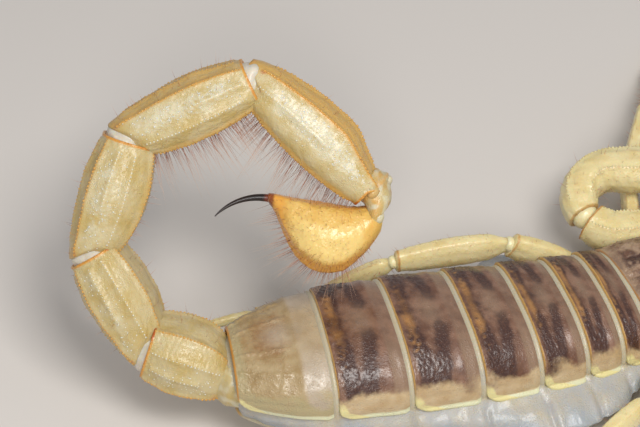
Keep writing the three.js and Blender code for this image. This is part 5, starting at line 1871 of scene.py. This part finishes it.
def build_stage(options):
    """A pale floor, two soft lights, an even sky and the camera."""
    scene = bpy.context.scene
    scene.view_settings.view_transform = "Standard"
    aim = Vector((np.array(CAMERA["aim"]) + SHIFT) * MM)

    mesh = bpy.data.meshes.new("floor")
    reach = 3.0
    corners = [(-reach, -reach, 0), (reach, -reach, 0), (reach, reach, 0), (-reach, reach, 0)]
    mesh.from_pydata(corners, [], [(0, 1, 2, 3)])
    floor = placed("floor", mesh)
    material, graph, shader = new_material("Floor")
    cloudy = graph.noise(90.0, 2.0)
    colour = graph.mix(cloudy, options.floor, [min(1.0, v * 1.05) for v in options.floor])
    dress(graph, shader, colour, graph.between(cloudy, 0.7, 0.8), cloudy, 0.01)
    mesh.materials.append(material)

    for name, way, distance, size, power in (
        ("Key light", (0.05, -0.5, 0.86), 0.3, options.key_size, options.key_power),
        ("Front light", (-0.32, -0.7, 0.64), 0.34, 0.07, options.front_power),
    ):
        lamp = bpy.data.lights.new(name, "AREA")
        lamp.energy = power
        lamp.size = size
        lamp.color = (1.0, 0.985, 0.955)
        look_from(placed(name, lamp), aim, Vector(way).normalized(), distance)

    world = bpy.data.worlds.new("Soft sky")
    world.use_nodes = True
    background = world.node_tree.nodes["Background"]
    background.inputs["Color"].default_value = (0.93, 0.95, 1.0, 1.0)
    background.inputs["Strength"].default_value = options.sky
    scene.world = world

    lens = bpy.data.cameras.new("Camera")
    lens.lens = CAMERA["lens"]
    lens.sensor_width = 36
    lens.clip_start = 0.01
    scene.camera = placed("Camera", lens)
    toward = Vector(direction(CAMERA["azimuth"] - 90, CAMERA["elevation"]))
    look_from(scene.camera, aim, toward, CAMERA["distance"] * MM)


def look_from(source, aim, way, distance):
    """Turns a lamp or the camera to its aim, from this way and distance."""
    source.location = aim + way * distance
    source.rotation_euler = way.to_track_quat("Z", "Y").to_euler()


# ---------- Settings ----------


def tone(name, text, *colour):
    return FloatVectorProperty(
        name=name, description=text, subtype="COLOR", size=3, min=0, max=1, default=shade(*colour),
    )


def amount(name, text, default, low=0.0, high=10.0):
    return FloatProperty(name=name, description=text, default=default, min=low, max=high)


THICKEST = "Granules on each square millimetre where they stand thickest"


class TailSettings(bpy.types.PropertyGroup):
    keel_height: amount("Keel height", "How far the keels stand out, as a share of their usual height", 1.0)
    bead_size: amount("Bead size", "Size of the beads on the keels, as a share of their usual size", 1.0)
    bead_spacing: amount("Bead spacing", "Distance from bead to bead, in millimetres", 0.36, 0.2, 2.0)
    granules: amount("Granules", THICKEST, 9.0, 0.0, 30.0)
    straw: tone("Straw", "Ground colour of the tail", 188, 164, 102)
    chalk: tone("Chalk", "The pale flanks of the last segments", 208, 198, 166)
    tan: tone("Tan", "Back and belly of the segments", 200, 160, 88)
    keel: tone("Keel", "The granular keels", 208, 150, 66)
    rim: tone("Rim", "The dark hind rims", 172, 84, 30)
    membrane: tone("Joint skin", "The soft skin of the joints", 200, 190, 172)


class TelsonSettings(bpy.types.PropertyGroup):
    amber: tone("Amber", "Ground colour of the vesicle", 220, 176, 90)
    # Honey also serves as the painted highlight on the vesicle's camera-facing flank; the orange also paints
    # shade along its back and belly.
    honey: tone("Honey", "The pale flanks of the vesicle", 230, 200, 124)
    orange: tone("Orange", "Back and belly of the vesicle", 226, 166, 74)
    brown: tone("Brown", "The vesicle's tip", 140, 74, 34)
    sting: tone("Sting", "The needle", 22, 15, 14)
    sting_root: tone("Sting root", "The needle's root", 104, 42, 20)


class BackSettings(bpy.types.PropertyGroup):
    plate_thickness: amount("Plate thickness", "Thickness of a back plate, in millimetres", 0.26, 0.1, 1.0)
    granules: amount("Granules", THICKEST, 5.0, 0.0, 30.0)
    dark: tone("Dark", "The dark bands of the back", 68, 42, 34)
    brown: tone("Brown", "The brown of the back", 98, 65, 48)
    # Grey brown on the plates and light on the carapace also colour the painted glint on top of each granule.
    grey_brown: tone("Grey brown", "The lighter middle of each plate", 134, 100, 80)
    light: tone("Light", "Flecks of the back", 170, 142, 116)
    front: tone("Front strip", "The smooth front strip of each plate", 146, 122, 100)
    ochre: tone("Ochre", "Streaks at the hind edges", 164, 118, 68)
    side: tone("Side", "The translucent sides of the plates", 182, 154, 114)
    side_pale: tone("Pale side", "The paler marks of the sides", 204, 184, 150)
    flange: tone("Flange", "The translucent edges of the sides", 210, 208, 172)
    crescent: tone("Crescent", "The pale yellow border at the hind corners", 218, 206, 148)
    brow: tone("Brow", "The pale band between the eyes and the brow", 214, 198, 142)
    line: tone("Hind line", "The thin line along each hind edge", 196, 154, 88)
    keel_line: tone("Last hind line", "The golden line behind the last back plate", 202, 142, 64)
    olive: tone("Olive", "The last back plate", 156, 130, 88)
    olive_light: tone("Light olive", "The paler marks of the last back plate", 176, 154, 116)
    olive_dark: tone("Dark olive", "The darker marks of the last back plate", 146, 108, 66)
    olive_side: tone("Olive side", "The sides of the last back plate", 170, 156, 116)
    grey_strip: tone("Grey strip", "The front strip of the last back plate", 186, 172, 156)
    skin: tone("Skin", "The soft skin of the flanks", 170, 169, 167)
    cream: tone("Cream", "The skin between the plates", 184, 173, 147)
    fold: tone("Fold", "The creases of the flanks", 160, 152, 147)
    belly_blue: tone("Under flank", "The blue-grey tint low on the flanks", 152, 159, 164)
    belly: tone("Belly", "The belly plates", 186, 172, 128)


class LimbSettings(bpy.types.PropertyGroup):
    granules: amount("Granules", THICKEST, 2.2, 0.0, 30.0)
    limb: tone("Limb", "Ground colour of the limbs", 220, 202, 144)
    limb_pale: tone("Pale limb", "The paler sides of the limbs", 232, 220, 176)
    limb_tan: tone("Tan limb", "Back and belly of the limbs", 206, 172, 104)
    limb_edge: tone("Limb edge", "Keels and rims of the limbs", 184, 132, 68)
    limb_dark: tone("Dark ends", "Claws and finger edges", 70, 34, 20)
    honey: tone("Chelicera", "Ground colour of the chelicerae", 226, 190, 118)
    claw: tone("Teeth", "Finger points of the chelicerae", 54, 26, 16)
    eye: tone("Eye", "The eyes", 9, 8, 8)


class CombSettings(bpy.types.PropertyGroup):
    comb_teeth: IntProperty(
        name="Comb teeth", description="Teeth on each comb", default=COMB["teeth"], min=5, max=40,
    )
    comb: tone("Comb", "Ground colour of the combs", 226, 212, 172)
    cream_white: tone("Cream white", "The paler marks of the combs", 240, 234, 210)
    comb_tan: tone("Comb tan", "The plates' edges", 196, 168, 110)


class HairSettings(bpy.types.PropertyGroup):
    density: amount("Density", "Hairs on each square millimetre where they stand thickest", 1.0)
    length: amount("Length", "Share of the usual length", 1.0)
    thickness: amount("Thickness", "Share of the usual thickness", 1.0)
    spread: amount("Spread", "How far the hairs stray from their lie", 0.16)
    bend: amount("Bend", "How much the hairs bend over", 0.35)
    root_dark: tone("Dark root", "Root of the darkest hairs", 112, 58, 38)
    root_red: tone("Red root", "Root of the reddest hairs", 194, 116, 78)
    tip: tone("Tip", "Tips of the hairs", 236, 198, 168)


class StageSettings(bpy.types.PropertyGroup):
    floor: tone("Floor", "The floor", 206, 200, 194)
    key_power: amount("Key power", "Power of the high light, in watts", 0.62)
    key_size: amount("Key size", "Width of the high light, in metres", 0.12)
    front_power: amount("Front power", "Power of the light beside the camera, in watts", 0.28)
    sky: amount("Sky", "Strength of the even light all round", 0.38)


# ---------- Operators and panel ----------


def built(build, group):
    """Runs one step with a group of settings."""
    build(getattr(bpy.context.scene, "scorpion_" + group))
    return {"FINISHED"}


class BuildTail(bpy.types.Operator):
    """Builds the five tail segments, their keels and their joint skins"""

    bl_idname = "scorpion.build_tail"
    bl_label = "Tail"

    def execute(self, context):
        return built(build_tail, "tail")


class BuildTelson(bpy.types.Operator):
    """Builds the vesicle, its neck and the sting"""

    bl_idname = "scorpion.build_telson"
    bl_label = "Telson"

    def execute(self, context):
        return built(build_telson, "telson")


class BuildTrunk(bpy.types.Operator):
    """Builds the soft skin and the plates of the back and the belly"""

    bl_idname = "scorpion.build_trunk"
    bl_label = "Trunk"

    def execute(self, context):
        return built(build_trunk, "back")


class BuildHead(bpy.types.Operator):
    """Builds the carapace, the eyes and the coxae"""

    bl_idname = "scorpion.build_head"
    bl_label = "Head"

    def execute(self, context):
        built(build_carapace, "back")
        built(build_eyes, "limbs")
        return built(build_underside, "limbs")


class BuildChelicerae(bpy.types.Operator):
    """Builds the two chelicerae"""

    bl_idname = "scorpion.build_chelicerae"
    bl_label = "Chelicerae"

    def execute(self, context):
        return built(build_chelicerae, "limbs")


class BuildPedipalps(bpy.types.Operator):
    """Builds the two pedipalps with their claws"""

    bl_idname = "scorpion.build_pedipalps"
    bl_label = "Pedipalps"

    def execute(self, context):
        return built(build_pedipalps, "limbs")


class BuildLegs(bpy.types.Operator):
    """Builds the eight legs"""

    bl_idname = "scorpion.build_legs"
    bl_label = "Legs"

    def execute(self, context):
        return built(build_legs, "limbs")


class BuildCombs(bpy.types.Operator):
    """Builds the combs and the operculum under the trunk"""

    bl_idname = "scorpion.build_combs"
    bl_label = "Combs"

    def execute(self, context):
        return built(build_combs, "combs")


class BuildHairs(bpy.types.Operator):
    """Grows the hairs of every piece"""

    bl_idname = "scorpion.build_hairs"
    bl_label = "Hairs"

    def execute(self, context):
        return built(build_hairs, "hairs")


class BuildStage(bpy.types.Operator):
    """Sets the floor, the lights and the camera"""

    bl_idname = "scorpion.build_stage"
    bl_label = "Stage"

    def execute(self, context):
        return built(build_stage, "stage")


GROUPS = {
    "tail": TailSettings, "telson": TelsonSettings, "back": BackSettings, "limbs": LimbSettings,
    "combs": CombSettings, "hairs": HairSettings, "stage": StageSettings,
}
OPERATORS = (
    BuildTail, BuildTelson, BuildTrunk, BuildHead, BuildChelicerae, BuildPedipalps, BuildLegs, BuildCombs,
    BuildHairs, BuildStage,
)


class ScorpionPanel(bpy.types.Panel):
    """Lists the steps that build the scorpion, and their settings"""

    bl_idname = "VIEW3D_PT_scorpion"
    bl_label = "Desert scorpion"
    bl_space_type = "VIEW_3D"
    bl_region_type = "UI"
    bl_category = "Scorpion"

    def draw(self, context):
        for operator in OPERATORS:
            self.layout.operator(operator.bl_idname)
        for name, group in GROUPS.items():
            box = self.layout.box()
            box.label(text=name.capitalize())
            for key in group.__annotations__:
                box.prop(getattr(context.scene, "scorpion_" + name), key)


def register():
    for kind in (*GROUPS.values(), *OPERATORS, ScorpionPanel):
        bpy.utils.register_class(kind)
    for name, group in GROUPS.items():
        setattr(bpy.types.Scene, "scorpion_" + name, PointerProperty(type=group))


def unregister():
    for name in GROUPS:
        delattr(bpy.types.Scene, "scorpion_" + name)
    for kind in reversed((*GROUPS.values(), *OPERATORS, ScorpionPanel)):
        bpy.utils.unregister_class(kind)


def main():
    register()
    for operator in OPERATORS:
        family, name = operator.bl_idname.split(".")
        getattr(getattr(bpy.ops, family), name)()


if __name__ == "__main__":
    main()
